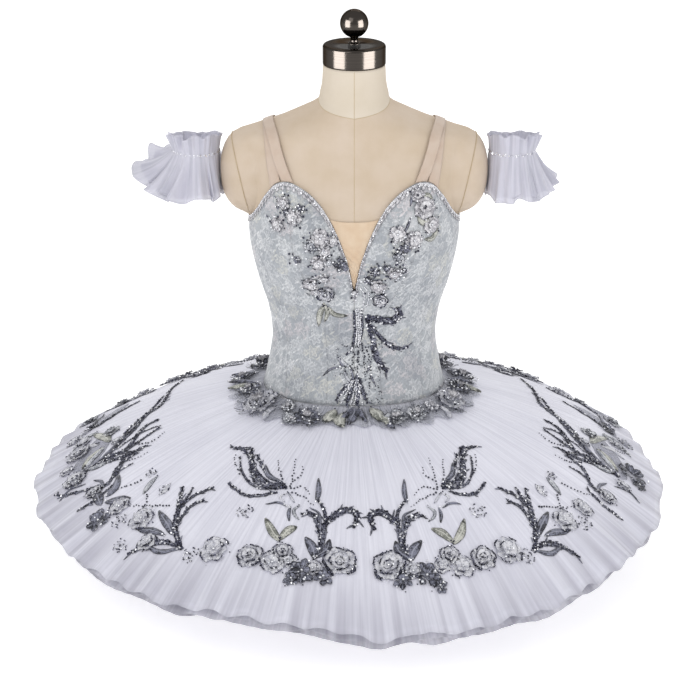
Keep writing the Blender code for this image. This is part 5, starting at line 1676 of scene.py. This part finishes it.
# %% The hem's cord and the armlets' sequins
CORD_ARCS, CORD_RADIUS, CORD_LIFT = ((-78, -36), (50, 72), (110, 172), (-170, -112)), 0.0006, 0.0006
for first, last in CORD_ARCS:
    angles = np.linspace(first, last, 90)
    heights = BODICE_HEM + 0.0016 + 0.0012 * np.sin(angles * 0.2)
    hem = off_skin(angles, heights, CLEARANCE + BODICE_WALL + CORD_LIFT)
    CORDS.parts.append(tube(hem, CORD_RADIUS * np.sin(np.linspace(0.3, 2.84, 90)), 5))
for side, sign in SIDES:

    def band_lay(a, b, lift, sign=sign):
        """Lays a round the arm in degrees and b down the band, mirrored for the other arm."""
        return armlet_point(a, ARMLET_RADIUS + BAND_WALL + GAP + lift, b) * (sign, 1, 1)

    around = np.arange(4, 360, 13.0)
    down = 0.0018 * np.sin(around * 1.7)
    BRIGHT.scatter((band_lay, sign), np.stack([around, down], 1), 0.0030, lean=0.25, lift=0.0002)
    again = np.stack([around + 6.5, -down], 1)
    BRIGHT.scatter((band_lay, sign), again, 0.0017, STONE, lift=0.0001)

# %% Making the trimming
LACE_WALL, LACE_ROLL, LACE_USED = 0.00025, 0.30, 0.6  # wall, the roll's width, the share used
for pile in CLOTHS.values():
    piece = pile.make(LACE_WALL)
    grid = np.concatenate([points[block] for points, block in pile.parts])
    crossed = np.cross(grid[:, 2] - grid[:, 0], grid[:, 3] - grid[:, 1])
    area = float(np.linalg.norm(crossed, axis=1).sum() / 2)
    length = round(area / (LACE_ROLL * LACE_USED), 3)
    print(piece.name, "cut from m2", round(area, 4))
for pile in (CHARCOAL, BRIGHT, STONES, BEADS, CORDS):
    pile.make()

# %% [markdown]
# ## The floor, the light and the camera
# A plain white floor and large soft lamps, as in a studio for clothes. The camera stands a
# little above the skirt, looks down at it by 22 degrees and has a long lens, so the skirt's far
# rim is hardly smaller than its near one.

# %% The floor
paper, tree = finish(
    "matt_paper_roll", Roughness=0.95, Emission_Color="ffffff", Emission_Strength=0.42
)
cloud = add(tree, "TexNoise", {0: add(tree, "TexCoord", out="Object"), "Scale": 2.0})
add(tree, "ValToRGB", (cloud,), ramp=((0.3, "f6f6f6"), (0.7, "ffffff")), into="Base Color")
corners = np.array([(-200, -200, 0), (200, -200, 0), (200, 200, 0), (-200, 200, 0)])
new_piece("floor", corners, np.array([[0, 1, 2, 3]]), paper)


# %% The lamps
def lamp(name, place, aim, width, height, power, lit=()):
    """A soft lamp turned to look at its aim. Where lit names pieces, it lights only those."""
    light = bpy.data.lights.new(name, "AREA")
    light.shape = "RECTANGLE"
    light.size, light.size_y, light.energy = width, height, power
    made = bpy.data.objects.new(name, light)
    looks = np.array(aim, float) - np.array(place, float)
    pitch = math.atan2(math.hypot(looks[0], looks[1]), -looks[2])
    made.location, made.rotation_euler = place, (pitch, 0, math.atan2(-looks[0], looks[1]))
    made.visible_camera = False
    bpy.context.scene.collection.objects.link(made)
    if lit:
        made.light_linking.receiver_collection = bpy.data.collections.new(name)
        for piece in lit:
            made.light_linking.receiver_collection.objects.link(piece)


# Polished metal shows what stands round it, so two tall cards are put up for it alone.
METAL = (neck_cap, finial)
LAMPS = (  # name, place, aim, width, height, watts, and the only pieces it lights, if any
    ("key", (-1.8, -2.6, 3.0), (0, 0, 0.4), 2.2, 2.2, 34),
    ("fill", (2.4, -2.2, 1.6), (0, 0, 0.4), 2.4, 2.4, 14),
    ("back", (0.4, 2.8, 2.6), (0, 0, 0.5), 2.0, 2.0, 19),
    ("card_left", (-1.66, -1.12, 0.9), (0, 0, 0.9), 1.6, 1.8, 150, METAL),
    ("card_right", (1.66, -1.12, 0.9), (0, 0, 0.9), 1.6, 1.8, 150, METAL),
)
for row in LAMPS:
    lamp(*row)
world = bpy.data.worlds.new("studio")
world.use_nodes = True
sky = world.node_tree.nodes["Background"]
sky.inputs["Color"].default_value = (1.0, 1.0, 1.0, 1.0)
sky.inputs["Strength"].default_value = 0.76
bpy.context.scene.world = world
bpy.context.scene.view_settings.view_transform = "Standard"

# %% The camera
SENSOR, PICTURE, FOCUS = 36.0, 700, 1900  # the sensor in mm, then the picture and lens in dots
lens = bpy.data.cameras.new("camera")
lens.sensor_width, lens.lens = SENSOR, FOCUS / PICTURE * SENSOR
camera = bpy.data.objects.new("camera", lens)
camera.location = (-0.0063, -2.792, 1.448)
camera.rotation_euler = (math.radians(68), 0, 0)
bpy.context.scene.collection.objects.link(camera)
bpy.context.scene.camera = camera
